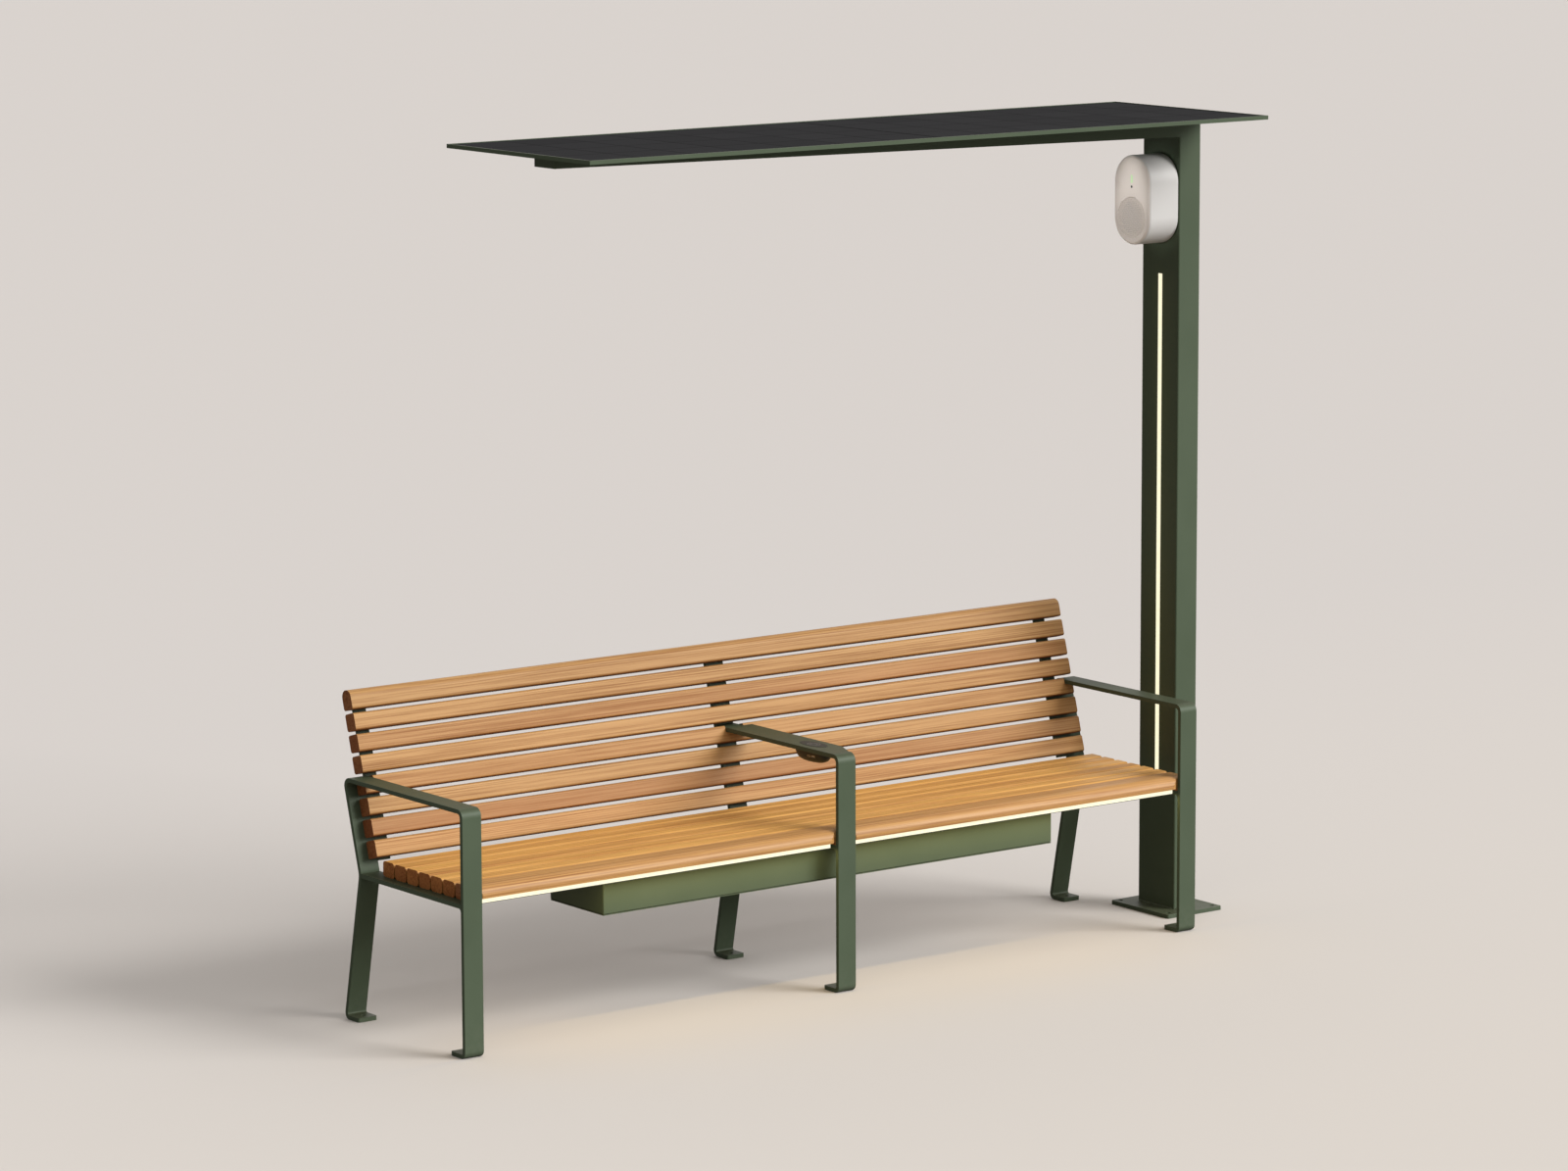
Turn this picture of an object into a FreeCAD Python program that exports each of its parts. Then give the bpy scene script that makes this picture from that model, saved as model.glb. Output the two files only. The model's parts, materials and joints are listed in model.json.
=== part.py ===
import FreeCAD, Part
import math
import os

os.makedirs("parts", exist_ok=True)

Vector = FreeCAD.Vector

# Solar charging bench: a three-frame slatted park bench with a battery box under the seat,
# and a free-standing post beside it that carries a thin solar canopy over the bench.
# Workshop axes: x runs along the bench from the left frame's outer face, y runs back from the
# front face of the front legs, z is up from the ground. Every solid is moved once, at the end,
# so that the origin is on the ground under the middle of the whole object.

# Flat bar frames
bar_width = 60.0
bar_thick = 12.0
frame_pitch = 1225.0
arm_height = 664.0
middle_arm_width = 90.0
middle_arm_taper = 71.0
middle_arm_overlap = 4.0
waist_y = 497.0
back_lean = 16.0
rear_splay = 11.5
foot_length = 68.0
foot_bend = 6.0
arm_bend = 11.0
waist_bend = 40.0
foot_hole_r = 6.5
foot_hole_inset = 24.0
toe_corner_r = 6.0
bar_edge_r = 1.2

# Seat
seat_height = 455.0
seat_slat_thick = 42.0
seat_slat_width = 53.0
seat_slat_gap = 5.0
seat_slat_count = 6
seat_back_edge_y = 432.0
nose_front_y = 2.0
nose_round_r = 27.0
nose_lip_height = 8.0
nose_corner_r = 24.0
nose_start_r = 3.0
rail_thick = 12.0
rail_weld_r = 9.0
slat_end_inset = 32.0
seat_edge_r = 9.0
leg_notch_gap = 1.5

# Backrest
back_slat_count = 8
back_slat_height = 48.0
back_slat_thick = 44.0
back_slat_gap = 9.3
back_edge_r = 7.0
back_base_z = 446.0
top_slat_height = 54.5
top_slat_flat = 1.0
upright_width = 40.0
upright_thick = 8.0
upright_start = 6.0
upright_top_cover = 32.0
arm_notch_gap = 1.0

# Timber fixings
screw_r = 3.0
screw_bite = 26.0
screw_head_r = 6.5
screw_head_h = 3.5
screw_tip_gap = 1.0
screw_socket_r = 1.5
screw_socket_depth = 2.0
screw_clear = 0.05

# Battery box under the seat
box_length = 1540.0
box_depth = 250.0
box_front_y = 60.0
box_height = 88.0
box_wall = 2.5
box_lip = 27.0
box_corner_r = 3.0
seal_thick = 2.0
seal_width = 11.0
door_thick = 2.5
batten_width = 40.0
batten_offset = 615.0
batten_front_y = 40.0
batten_back_y = 428.0
bolt_r = 4.0
bolt_head_r = 6.5
bolt_head_h = 5.0
bolt_wall_gap = 15.0
bolt_tip_gap = 0.5
bolt_side_step = 11.0
door_screw_r = 3.0
door_screw_head_r = 5.5
door_screw_head_h = 3.0
door_screw_edge = 19.0
door_screw_end = 60.0
door_screw_tip_gap = 1.0
insert_r = 6.0
insert_height = 6.0
insert_clear = 0.6
hinge_offset_y = 6.0
knuckle_r = 4.5
hinge_pin_r = 2.5
hinge_pin_clear = 0.05
hinge_pin_end = 2.0
hinge_length = 80.0
hinge_door_share = 30.0
hinge_side_gap = 0.4
hinge_spread = 640.0
hinge_leaf_height = 24.0
hinge_leaf_thick = 2.0
hinge_leaf_gap = 1.0

# What the box holds
battery_length = 480.0
battery_depth = 190.0
battery_height = 72.0
battery_end_gap = 34.0
battery_corner_r = 4.0
strap_inset = 60.0
strap_width = 24.0
strap_depth = 2.0
controller_length = 220.0
controller_depth = 120.0
controller_height = 44.0
controller_fin_count = 9
controller_fin_height = 14.0
controller_fin_thick = 4.0
controller_fin_share = 0.7
gland_r = 9.0
gland_neck_r = 7.0
gland_tail = 4.0
gland_body = 14.0
gland_pitch = 40.0
gland_shift_y = -20.0
gland_bore_r = 3.5

# Seat light
light_height = 15.0
light_depth = 18.0
light_setback = 12.0
light_wall = 1.5
light_start_gap = 2.0
light_end_gap = 17.0
strip_end_gap = 3.0
diffuser_thick = 3.0
strip_width = 8.0
strip_thick = 1.6

# Charger in the middle arm
pad_length = 110.0
pad_width = 50.0
pad_thick = 4.0
pad_proud = 0.6
pad_fit = 0.3
pad_lip = 3.0
pad_center_y = 170.0
socket_shift_y = -26.0
pod_length = 142.0
pod_width = 70.0
pod_depth = 34.0
pod_wall = 2.5
# Share of the pod's depth, then of its width, from the arm down
pod_profile = ((0.0, 1.0), (0.35, 0.95), (0.68, 0.82), (0.9, 0.6), (1.0, 0.4))
pod_length_hold = 0.6
coil_r = 20.0
coil_bore_r = 9.0
coil_thick = 3.0
socket_width = 11.0
socket_height = 5.0
socket_depth = 12.0
socket_pitch = 15.0
socket_drop = 14.0
socket_bore_width = 8.6
socket_bore_height = 3.0

# Post beside the bench
plate_gap = 34.5
plate_x = 206.0
plate_y = 255.0
plate_thick = 12.0
plate_corner_r = 6.0
plate_hole_r = 7.0
plate_hole_inset = 20.0
plate_cable_r = 25.0
grommet_wall = 3.0
grommet_flange = 5.0
grommet_flange_thick = 2.0
post_x = 80.0
post_y = 160.0
post_wall = 5.0
post_corner_r = 5.0
post_setback = 287.0
post_light_low = 400.0
post_light_drop = 88.0
post_light_width = 20.0
post_light_depth = 12.0

# Canopy
canopy_top = 2331.0
canopy_length = 2330.0
canopy_depth = 670.0
canopy_thick = 11.0
canopy_overhang = 30.0
tray_skin = 2.0
tray_rim = 6.0
tray_corner_r = 2.0
rim_proud = 1.2
panel_gap = 3.0
panel_seam = 4.0
panel_edge_r = 0.8
beam_root_depth = 60.0
beam_tip_depth = 35.0
beam_tip_width = 92.0
beam_tip_inset = 87.0
beam_wall = 4.0
junction_length = 84.0
junction_width = 60.0
junction_height = 17.0
junction_fit = 1.0
junction_corner_r = 3.0

# Speaker unit on the post
speaker_width = 156.0
speaker_height = 256.0
speaker_depth = 110.0
speaker_drop = 51.0
speaker_side_wall = 5.5
speaker_front_wall = 4.5
speaker_edge_r = 9.0
speaker_back_edge_r = 5.0
speaker_plate_thick = 6.0
speaker_fit = 0.4
grille_r = 66.0
grille_thick = 3.0
grille_fit = 0.1
grille_sink = 0.1
grille_margin = 4.0
grille_hole_r = 2.1
grille_pitch = 6.0
driver_r = 52.0
driver_depth = 46.0
driver_magnet_r = 30.0
driver_flange = 4.0
driver_mouth_r = 46.0
driver_magnet_thick = 16.0
driver_dish_r = 14.0
light_pill_height = 24.0
light_pill_width = 9.0
sensor_r = 4.0
light_pill_rise = 60.0
sensor_rise = 38.0
pill_depth = 12.0
pill_fit = 0.1
pill_sink = 0.3
speaker_cable_r = 9.0

# Clearance round parts let into a slot
snug_fit = 0.1

# Derived lengths
half_bar = bar_thick / 2
bench_length = 2 * frame_pitch + bar_width
plate_x0 = bench_length + plate_gap
plate_x1 = plate_x0 + plate_x
overall_length = plate_x1
post_cx = plate_x0 + plate_x / 2
post_x0 = post_cx - post_x / 2
post_x1 = post_cx + post_x / 2
post_y0 = post_setback - post_y / 2
post_y1 = post_setback + post_y / 2
rail_top = seat_height - seat_slat_thick
rail_low = rail_top - rail_thick
waist_z = rail_top - rail_thick / 2
lean = math.radians(back_lean)
splay = math.radians(rear_splay)
seat_pitch = seat_slat_width + seat_slat_gap
back_pitch = back_slat_height + back_slat_gap
rear_heel_y = waist_y + (waist_z - half_bar) * math.tan(splay)
rear_toe_y = rear_heel_y + half_bar - foot_length
arm_rear_y = waist_y + (arm_height - half_bar - waist_z) * math.tan(lean)
bar_front_shift = half_bar / math.cos(lean)
waist_center_reach = (waist_bend + half_bar) / math.cos((lean + splay) / 2)
waist_front_y = waist_y + waist_center_reach * math.cos((lean - splay) / 2) - waist_bend - bar_thick
box_x0 = bench_length / 2 - box_length / 2
box_x1 = box_x0 + box_length
box_y1 = box_front_y + box_depth
box_top = rail_low
box_low = box_top - box_height
seal_low = box_low - seal_thick
door_low = seal_low - door_thick
hinge_y = box_y1 + hinge_offset_y
hinge_z = door_low + knuckle_r
canopy_x1 = post_x1 + canopy_overhang
canopy_x0 = canopy_x1 - canopy_length
canopy_y0 = post_setback - canopy_depth / 2
canopy_y1 = post_setback + canopy_depth / 2
canopy_low = canopy_top - canopy_thick
beam_tip_x = canopy_x0 + beam_tip_inset
beam_low = canopy_low - beam_root_depth
speaker_center_z = beam_low - speaker_drop - speaker_height / 2
post_light_high = speaker_center_z - speaker_height / 2 - post_light_drop
arm_low = arm_height - bar_thick

frame_xs = [0.0, frame_pitch, 2 * frame_pitch]
pad_center_x = frame_xs[1] + middle_arm_width / 2


def box(x0, x1, y0, y1, z0, z1):
    """Block between two corners."""
    return Part.makeBox(x1 - x0, y1 - y0, z1 - z0, Vector(x0, y0, z0))


def rounded(shape, radius, picks):
    """Fillet the edges that the test picks out."""
    return shape.makeFillet(radius, [e for e in shape.Edges if picks(e)])


def runs_along(edge, axis, length=1.0):
    """True for a straight edge along one axis that is longer than the given length."""
    if edge.Curve.TypeId != "Part::GeomLine":
        return False
    way = edge.tangentAt(edge.FirstParameter)
    return abs(abs(way.dot(axis)) - 1) < 1e-6 and edge.Length > length


def offset_point(point, way, gap):
    """Point moved sideways by the gap, to the left of its direction in the y-z plane."""
    return (point[0] - way[1] * gap, point[1] + way[0] * gap)


def bent_outline(points, inner_radii, half, x):
    """Closed wire, in the plane at x, of a flat bar bent along a centre line of y-z points."""
    ways = []
    for a, b in zip(points, points[1:]):
        run = math.hypot(b[0] - a[0], b[1] - a[1])
        ways.append(((b[0] - a[0]) / run, (b[1] - a[1]) / run))
    sides = []
    for gap in (half, -half):
        edges = []
        start = offset_point(points[0], ways[0], gap)
        for i, corner in enumerate(points[1:-1]):
            into, out = ways[i], ways[i + 1]
            cross = into[0] * out[1] - into[1] * out[0]
            turn = math.atan2(cross, into[0] * out[0] + into[1] * out[1])
            radius = inner_radii[i] + half
            reach = radius * math.tan(abs(turn) / 2)
            first = (corner[0] - into[0] * reach, corner[1] - into[1] * reach)
            last = (corner[0] + out[0] * reach, corner[1] + out[1] * reach)
            center = offset_point(first, into, radius if turn > 0 else -radius)
            bulge = (corner[0] - center[0], corner[1] - center[1])
            size = math.hypot(*bulge)
            side_radius = radius - gap if turn > 0 else radius + gap
            share = side_radius / size
            middle = (center[0] + bulge[0] * share, center[1] + bulge[1] * share)
            begin = offset_point(first, into, gap)
            finish = offset_point(last, out, gap)
            edges.append(Part.LineSegment(Vector(x, *start), Vector(x, *begin)).toShape())
            edges.append(Part.Arc(Vector(x, *begin), Vector(x, *middle), Vector(x, *finish)).toShape())
            start = finish
        end = offset_point(points[-1], ways[-1], gap)
        edges.append(Part.LineSegment(Vector(x, *start), Vector(x, *end)).toShape())
        sides.append((edges, offset_point(points[0], ways[0], gap), end))
    caps = [
        Part.LineSegment(Vector(x, *sides[0][1]), Vector(x, *sides[1][1])).toShape(),
        Part.LineSegment(Vector(x, *sides[0][2]), Vector(x, *sides[1][2])).toShape(),
    ]
    return Part.Wire(Part.__sortEdges__(sides[0][0] + sides[1][0] + caps))


def bent_bar(points, inner_radii, x0):
    """Flat bar bent along a centre line, one bar width wide from x0."""
    wire = bent_outline(points, inner_radii, half_bar, x0)
    bar = Part.Face(wire).extrude(Vector(bar_width, 0, 0))
    side_edges = []
    for edge in bar.Edges:
        flat = abs(edge.BoundBox.XMax - edge.BoundBox.XMin) < 1e-6
        if flat and edge.Length > bar_thick + 1e-3:
            side_edges.append(edge)
    return bar.makeFillet(bar_edge_r, side_edges)


def foot_cut(x0, toe_y, inward):
    """Hole and rounded toe corners of one foot, as a solid to cut away."""
    hole_y = toe_y - inward * foot_hole_inset
    hole_place = Vector(x0 + bar_width / 2, hole_y, -bar_thick)
    hole = Part.makeCylinder(foot_hole_r, 4 * bar_thick, hole_place)
    corners = []
    for side, x in ((1, x0), (-1, x0 + bar_width)):
        cx = x + side * toe_corner_r
        cy = toe_y - inward * toe_corner_r
        square = box(min(x, cx), max(x, cx), min(toe_y, cy), max(toe_y, cy), -1, bar_thick + 1)
        post = Part.makeCylinder(toe_corner_r, 4 * bar_thick, Vector(cx, cy, -bar_thick))
        corners.append(square.cut(post))
    return hole.fuse(corners[0]).fuse(corners[1])


def drill_feet(bar, x0, toes):
    """Bar with its foot holes and rounded toes."""
    for toe_y, inward in toes:
        bar = bar.cut(foot_cut(x0, toe_y, inward))
    return bar


def end_frame(x0):
    """Closed bar loop of an end frame: front foot, leg, arm, back bar, rear leg and foot."""
    points = [
        (foot_length, half_bar),
        (half_bar, half_bar),
        (half_bar, arm_height - half_bar),
        (arm_rear_y, arm_height - half_bar),
        (waist_y, waist_z),
        (rear_heel_y, half_bar),
        (rear_toe_y, half_bar),
    ]
    bar = bent_bar(points, [foot_bend, arm_bend, arm_bend, waist_bend, foot_bend], x0)
    return drill_feet(bar, x0, ((foot_length, 1), (rear_toe_y, -1)))


def back_point(along, ahead):
    """y and z of a point measured up the backrest plane and ahead of it."""
    base_y = waist_y + (back_base_z - waist_z) * math.tan(lean) - bar_front_shift
    y = base_y + along * math.sin(lean) - ahead * math.cos(lean)
    z = back_base_z + along * math.cos(lean) + ahead * math.sin(lean)
    return (y, z)


def back_block(x0, x1, low, high, near, far):
    """Block laid on the leaning backrest plane, from near to far ahead of it."""
    corners = [back_point(low, near), back_point(high, near), back_point(high, far), back_point(low, far)]
    wire = Part.makePolygon([Vector(x0, *c) for c in corners + corners[:1]])
    return Part.Face(wire).extrude(Vector(x1 - x0, 0, 0))


def slat_start(number):
    """Distance up the backrest plane of the lower edge of a slat; slat 1 is the top one."""
    return (back_slat_count - number) * back_pitch


support_top = slat_start(1) + upright_top_cover
top_screw_rim = slat_start(1) + back_slat_height / 2 + screw_head_r
rear_y = back_point(top_screw_rim, -bar_thick - screw_head_h)[0]
to_origin = Vector(-overall_length / 2, -(canopy_y0 + rear_y) / 2, 0)


def arm_wing(x0):
    """Extra width of the middle arm, right of the bar, from a taper behind the bend to the back slats."""
    inner_x, outer_x = x0 + bar_width - middle_arm_overlap, x0 + middle_arm_width
    start_y = 2 * bar_thick + arm_bend - half_bar
    taper_y = start_y + middle_arm_taper
    corners = [(inner_x, start_y), (x0 + bar_width - bar_edge_r, start_y), (outer_x, taper_y),
               (outer_x, arm_rear_y), (inner_x, arm_rear_y)]
    points = [Vector(x, y, arm_low) for x, y in corners]
    wing = Part.Face(Part.makePolygon(points + points[:1])).extrude(Vector(0, 0, bar_thick))
    reach = 2 * arm_height
    near = back_slat_thick + arm_notch_gap
    wing = wing.common(back_block(x0, outer_x + 1, -arm_height, reach, near, reach))
    return rounded(wing, bar_edge_r, lambda e: True)


def middle_front():
    """Front foot, leg and arm of the middle frame, with the charger's oval hole in the arm."""
    x0 = frame_xs[1]
    points = [
        (foot_length, half_bar),
        (half_bar, half_bar),
        (half_bar, arm_height - half_bar),
        (arm_rear_y, arm_height - half_bar),
    ]
    bar = bent_bar(points, [foot_bend, arm_bend], x0)
    bar = drill_feet(bar, x0, ((foot_length, 1),))
    reach = 2 * arm_height
    bar = bar.common(back_block(x0 - 1, x0 + bar_width + 1, -arm_height, reach, 0, reach))
    bar = bar.fuse(arm_wing(x0))
    bar = bar.cut(oval(pad_length, pad_width, arm_height + pad_proud - pad_thick, pad_thick))
    return bar.cut(oval(pad_length, pad_width, arm_low - 1, bar_thick + 2, -pad_lip))


def middle_back():
    """Rear foot, leg and back bar of the middle frame, up into the top slat."""
    x0 = frame_xs[1]
    front_y, front_z = back_point(support_top, 0)
    top = (front_y + half_bar * math.cos(lean), front_z - half_bar * math.sin(lean))
    points = [top, (waist_y, waist_z), (rear_heel_y, half_bar), (rear_toe_y, half_bar)]
    bar = bent_bar(points, [waist_bend, foot_bend], x0)
    bar = drill_feet(bar, x0, ((rear_toe_y, -1),))
    return drill_back(bar, x0 + bar_width / 2, bar_thick)


def seat_rail(x0):
    """Flat bar from the front leg to the waist of the back bar, with a weld under its front end."""
    y0, y1 = bar_thick, waist_front_y
    bend_y = y0 + rail_weld_r
    bend_z = rail_low - rail_weld_r
    corners = [Vector(x0, y0, bend_z), Vector(x0, y0, rail_top), Vector(x0, y1, rail_top),
               Vector(x0, y1, rail_low), Vector(x0, bend_y, rail_low)]
    edges = [Part.LineSegment(a, b).toShape() for a, b in zip(corners, corners[1:])]
    slant = rail_weld_r * math.sin(math.pi / 4)
    edges.append(Part.Arc(corners[4], Vector(x0, bend_y - slant, bend_z + slant), corners[0]).toShape())
    rail = Part.Face(Part.Wire(edges)).extrude(Vector(bar_width, 0, 0))
    rail = drill_seat_screws(rail, rail_screw_x(x0))
    if x0 == frame_xs[1]:
        rail = drill_box_bolts(rail)
    return rail


def back_upright(x0):
    """Flat bar beside an end frame's back bar that carries the slats above the arm."""
    bar = back_block(x0, x0 + upright_width, -upright_start, support_top, -upright_thick, 0)
    bar = rounded(bar, bar_edge_r, lambda e: e.Length > upright_width + 1)
    return drill_back(bar, x0 + upright_width / 2, upright_thick)


upright_xs = [frame_xs[0] + bar_width, frame_xs[2] - upright_width]
back_screw_xs = [upright_xs[0] + upright_width / 2, bench_length / 2, upright_xs[1] + upright_width / 2]
back_screw_seats = [upright_thick, bar_thick, upright_thick]


def back_screw_heights():
    """Distance up the backrest plane of each slat's screw."""
    return [slat_start(n) + back_slat_height / 2 for n in range(1, back_slat_count + 1)]


def slanted_cylinder(radius, x, along, near, far):
    """Round bar square to the backrest plane, from near to far ahead of it."""
    start = back_point(along, near)
    way = Vector(0, -math.cos(lean), math.sin(lean))
    return Part.makeCylinder(radius, far - near, Vector(x, *start), way)


def drill_back(bar, x, thick):
    """Screw holes for the back slats through one support."""
    for along in back_screw_heights():
        bar = bar.cut(slanted_cylinder(screw_r + screw_clear, x, along, -thick - 1, 1))
    return bar


def back_slat(number):
    """One back slat, with rounded long edges; the top one has a full rounded crown."""
    low = slat_start(number)
    x0, x1 = slat_end_inset, bench_length - slat_end_inset
    if number == 1:
        high = low + top_slat_height
        slat = back_block(x0, x1, low, high, 0, back_slat_thick)
        crown = back_slat_thick / 2 - top_slat_flat
        slat = rounded(slat, crown, lambda e: straight_run(e) and along_of(e) > high - 1)
        slat = rounded(slat, back_edge_r, lambda e: straight_run(e) and along_of(e) < low + 1)
    else:
        slat = back_block(x0, x1, low, low + back_slat_height, 0, back_slat_thick)
        slat = rounded(slat, back_edge_r, straight_run)
    if number == arm_slat_number():
        for frame_x in frame_xs:
            slat = slat.cut(arm_notch(frame_x))
    pilot_r = screw_r + screw_clear
    for x in back_screw_xs:
        slat = slat.cut(slanted_cylinder(pilot_r, x, low + back_slat_height / 2, -1, screw_bite))
    return slat


def arm_notch(frame_x):
    """Space round an arm, open upwards, where it passes through a back slat."""
    gap = arm_notch_gap
    x0, x1 = frame_x - gap, frame_x + bar_width + gap
    notch = box(x0, x1, 0, arm_rear_y + bar_thick, arm_low - gap, arm_height + back_slat_height)
    if frame_x == frame_xs[1]:
        return notch
    path = [(half_bar, arm_height - half_bar), (arm_rear_y, arm_height - half_bar), (waist_y, waist_z)]
    outline = bent_outline(path, [arm_bend - gap], half_bar + gap, x0)
    bend = Part.Face(outline).extrude(Vector(x1 - x0, 0, 0))
    return notch.fuse(bend.common(box(x0, x1, 0, 2 * arm_rear_y, arm_low - 2 * arm_bend, arm_height)))


def along_of(edge):
    """Distance up the backrest plane of an edge's middle."""
    mid = edge.BoundBox.Center
    base_y, base_z = back_point(0, 0)
    return (mid.y - base_y) * math.sin(lean) + (mid.z - base_z) * math.cos(lean)


def straight_run(edge):
    """True for a long edge that runs along the bench."""
    return runs_along(edge, Vector(1, 0, 0), 500)


def arm_slat_number():
    """Number of the back slat whose upper edge the arms pass through."""
    for number in range(1, back_slat_count + 1):
        front_low = back_point(slat_start(number), back_slat_thick)[1]
        front_high = back_point(slat_start(number) + back_slat_height, back_slat_thick)[1]
        if front_low < arm_height <= front_high + back_slat_gap:
            return number
    return 0


def seat_screw_rows():
    """y of each seat slat's screw, with the nose slat's last."""
    rows = [seat_back_edge_y - seat_pitch * i - seat_slat_width / 2 for i in range(seat_slat_count)]
    nose_back = seat_back_edge_y - seat_pitch * seat_slat_count
    return rows + [(nose_back + light_back_y()) / 2]


def light_back_y():
    """y of the back face of the seat light."""
    return nose_front_y + light_setback + light_depth


def rail_screw_x(x0):
    """x of the slat screws on a rail: the middle of the slat's seat on it."""
    if x0 == frame_xs[0]:
        return (slat_end_inset + bar_width) / 2
    if x0 == frame_xs[2]:
        return bench_length - (slat_end_inset + bar_width) / 2
    return x0 + bar_width / 2


batten_xs = [bench_length / 2 - batten_offset, bench_length / 2 + batten_offset]
seat_screw_xs = [rail_screw_x(x) for x in frame_xs] + batten_xs


def screw_hole(x, y, z, depth, radius=screw_r):
    """Upright hole for a timber screw."""
    return Part.makeCylinder(radius + screw_clear, depth, Vector(x, y, z))


def drill_seat_screws(bar, x):
    """Screw holes through a rail or batten, with sunk seats for the heads above the box."""
    for y in seat_screw_rows():
        bar = bar.cut(screw_hole(x, y, rail_low - 1, rail_thick + 2))
        if under_box(x, y):
            bar = bar.cut(screw_hole(x, y, rail_low - 1, screw_head_h + 1, screw_head_r))
    return bar


def drill_seat(slat, y):
    """Pilot holes in a seat slat over every rail and batten."""
    for x in seat_screw_xs:
        slat = slat.cut(screw_hole(x, y, rail_top - 1, screw_bite + 1))
    return slat


def seat_slat(number):
    """One seat slat with rounded long edges; slat 1 is the rearmost."""
    y1 = seat_back_edge_y - seat_pitch * (number - 1)
    x0, x1 = slat_end_inset, bench_length - slat_end_inset
    slat = box(x0, x1, y1 - seat_slat_width, y1, rail_top, seat_height)
    slat = rounded(slat, seat_edge_r, straight_run)
    return drill_seat(slat, seat_screw_rows()[number - 1])


def nose_slat():
    """Front slat with a full round front, a rebate for the light and notches round the legs."""
    y1 = seat_back_edge_y - seat_pitch * seat_slat_count
    x0, x1 = slat_end_inset, bench_length - slat_end_inset
    slat = box(x0, x1, nose_front_y, y1, rail_top, seat_height)
    slat = rounded(slat, nose_round_r, lambda e: straight_run(e) and front_top(e))
    slat = rounded(slat, seat_edge_r, lambda e: straight_run(e) and e.BoundBox.YMin > y1 - 1)
    rebate = box(x0 - 1, x1 + 1, nose_front_y - 1, light_back_y(), rail_top - 1, rail_top + nose_lip_height)
    for frame_x in frame_xs:
        rebate = rebate.cut(box(frame_x, frame_x + bar_width, bar_thick, y1, rail_top - 2, seat_height))
    slat = slat.cut(rebate)
    for frame_x in frame_xs:
        slat = slat.cut(leg_notch(frame_x))
    return drill_seat(slat, seat_screw_rows()[-1])


def front_top(edge):
    """True for the nose slat's front upper edge."""
    return edge.BoundBox.YMax < nose_front_y + 1 and edge.BoundBox.ZMin > seat_height - 1


def leg_notch(frame_x):
    """Notch round a front leg; the nose ends in a large round before it and starts square after it."""
    gap = leg_notch_gap
    depth = bar_thick + gap
    x0, x1 = frame_x - gap, frame_x + bar_width + gap
    notch = box(x0, x1, nose_front_y - 20, depth, rail_top - 5, seat_height + 5)
    for side, x, radius in ((-1, x0, nose_corner_r), (1, x1, nose_start_r)):
        cx = x + side * radius
        cy = nose_front_y + radius
        square = box(min(x, cx), max(x, cx), nose_front_y - 1, depth, rail_top - 5, seat_height + 5)
        notch = notch.fuse(square.cut(Part.makeCylinder(radius, 200, Vector(cx, cy, rail_top - 50))))
    return notch


def back_screws():
    """Button-head screws through the supports into the back slats."""
    solids = []
    for x, seat in zip(back_screw_xs, back_screw_seats):
        for along in back_screw_heights():
            crown = -seat - screw_head_h
            shank = slanted_cylinder(screw_r, x, along, -seat, screw_bite - screw_tip_gap)
            head = slanted_cylinder(screw_head_r, x, along, crown, -seat)
            socket = slanted_cylinder(screw_socket_r, x, along, crown - 1, crown + screw_socket_depth)
            solids.append(shank.fuse(head).cut(socket))
    return Part.makeCompound(solids)


def seat_screws():
    """Button-head screws up through the rails and battens into the seat slats."""
    solids = []
    tip_z = rail_top + screw_bite - screw_tip_gap
    for x in seat_screw_xs:
        for y in seat_screw_rows():
            head_z = rail_low if under_box(x, y) else rail_low - screw_head_h
            shank = Part.makeCylinder(screw_r, tip_z - head_z, Vector(x, y, head_z))
            head = Part.makeCylinder(screw_head_r, screw_head_h, Vector(x, y, head_z))
            socket = Part.makeCylinder(screw_socket_r, screw_socket_depth + 1, Vector(x, y, head_z - 1))
            solids.append(shank.fuse(head).cut(socket))
    return Part.makeCompound(solids)


def under_box(x, y):
    """True where the battery box covers the underside of a rail or batten."""
    inside_x = box_x0 - screw_head_r < x < box_x1 + screw_head_r
    inside_y = box_front_y - screw_head_r < y < box_y1 + screw_head_r
    return inside_x and inside_y


bolt_ys = [box_front_y + bolt_wall_gap, box_y1 - bolt_wall_gap]
bolt_xs = [x + bolt_side_step for x in (batten_xs[0], bench_length / 2, batten_xs[1])]
bolt_hole_r = bolt_r + screw_clear


def drill_box_bolts(bar):
    """Threaded holes for the bolts that hang the battery box."""
    for x in bolt_xs:
        for y in bolt_ys:
            start = Vector(x, y, rail_low - rail_thick)
            bar = bar.cut(Part.makeCylinder(bolt_hole_r, 3 * rail_thick, start))
    return bar


def seat_battens():
    """Two flat bars under the slats, half way along each bay, that tie them and carry the box."""
    bars = []
    for x in batten_xs:
        half = batten_width / 2
        bar = box(x - half, x + half, batten_front_y, batten_back_y, rail_low, rail_top)
        bars.append(drill_box_bolts(drill_seat_screws(bar, x)))
    return Part.makeCompound(bars)


def box_bolts():
    """Six bolts from inside the box up into the middle rail and the battens."""
    solids = []
    for x in bolt_xs:
        for y in bolt_ys:
            length = box_wall + rail_thick - bolt_tip_gap
            shank = Part.makeCylinder(bolt_r, length, Vector(x, y, box_top - box_wall))
            hexagon = [Vector(x + bolt_head_r * math.cos(math.radians(60 * i)),
                              y + bolt_head_r * math.sin(math.radians(60 * i)),
                              box_top - box_wall - bolt_head_h) for i in range(7)]
            head = Part.Face(Part.makePolygon(hexagon)).extrude(Vector(0, 0, bolt_head_h))
            solids.append(shank.fuse(head))
    return Part.makeCompound(solids)


hinge_xs = [bench_length / 2 - hinge_spread, bench_length / 2, bench_length / 2 + hinge_spread]


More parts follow.
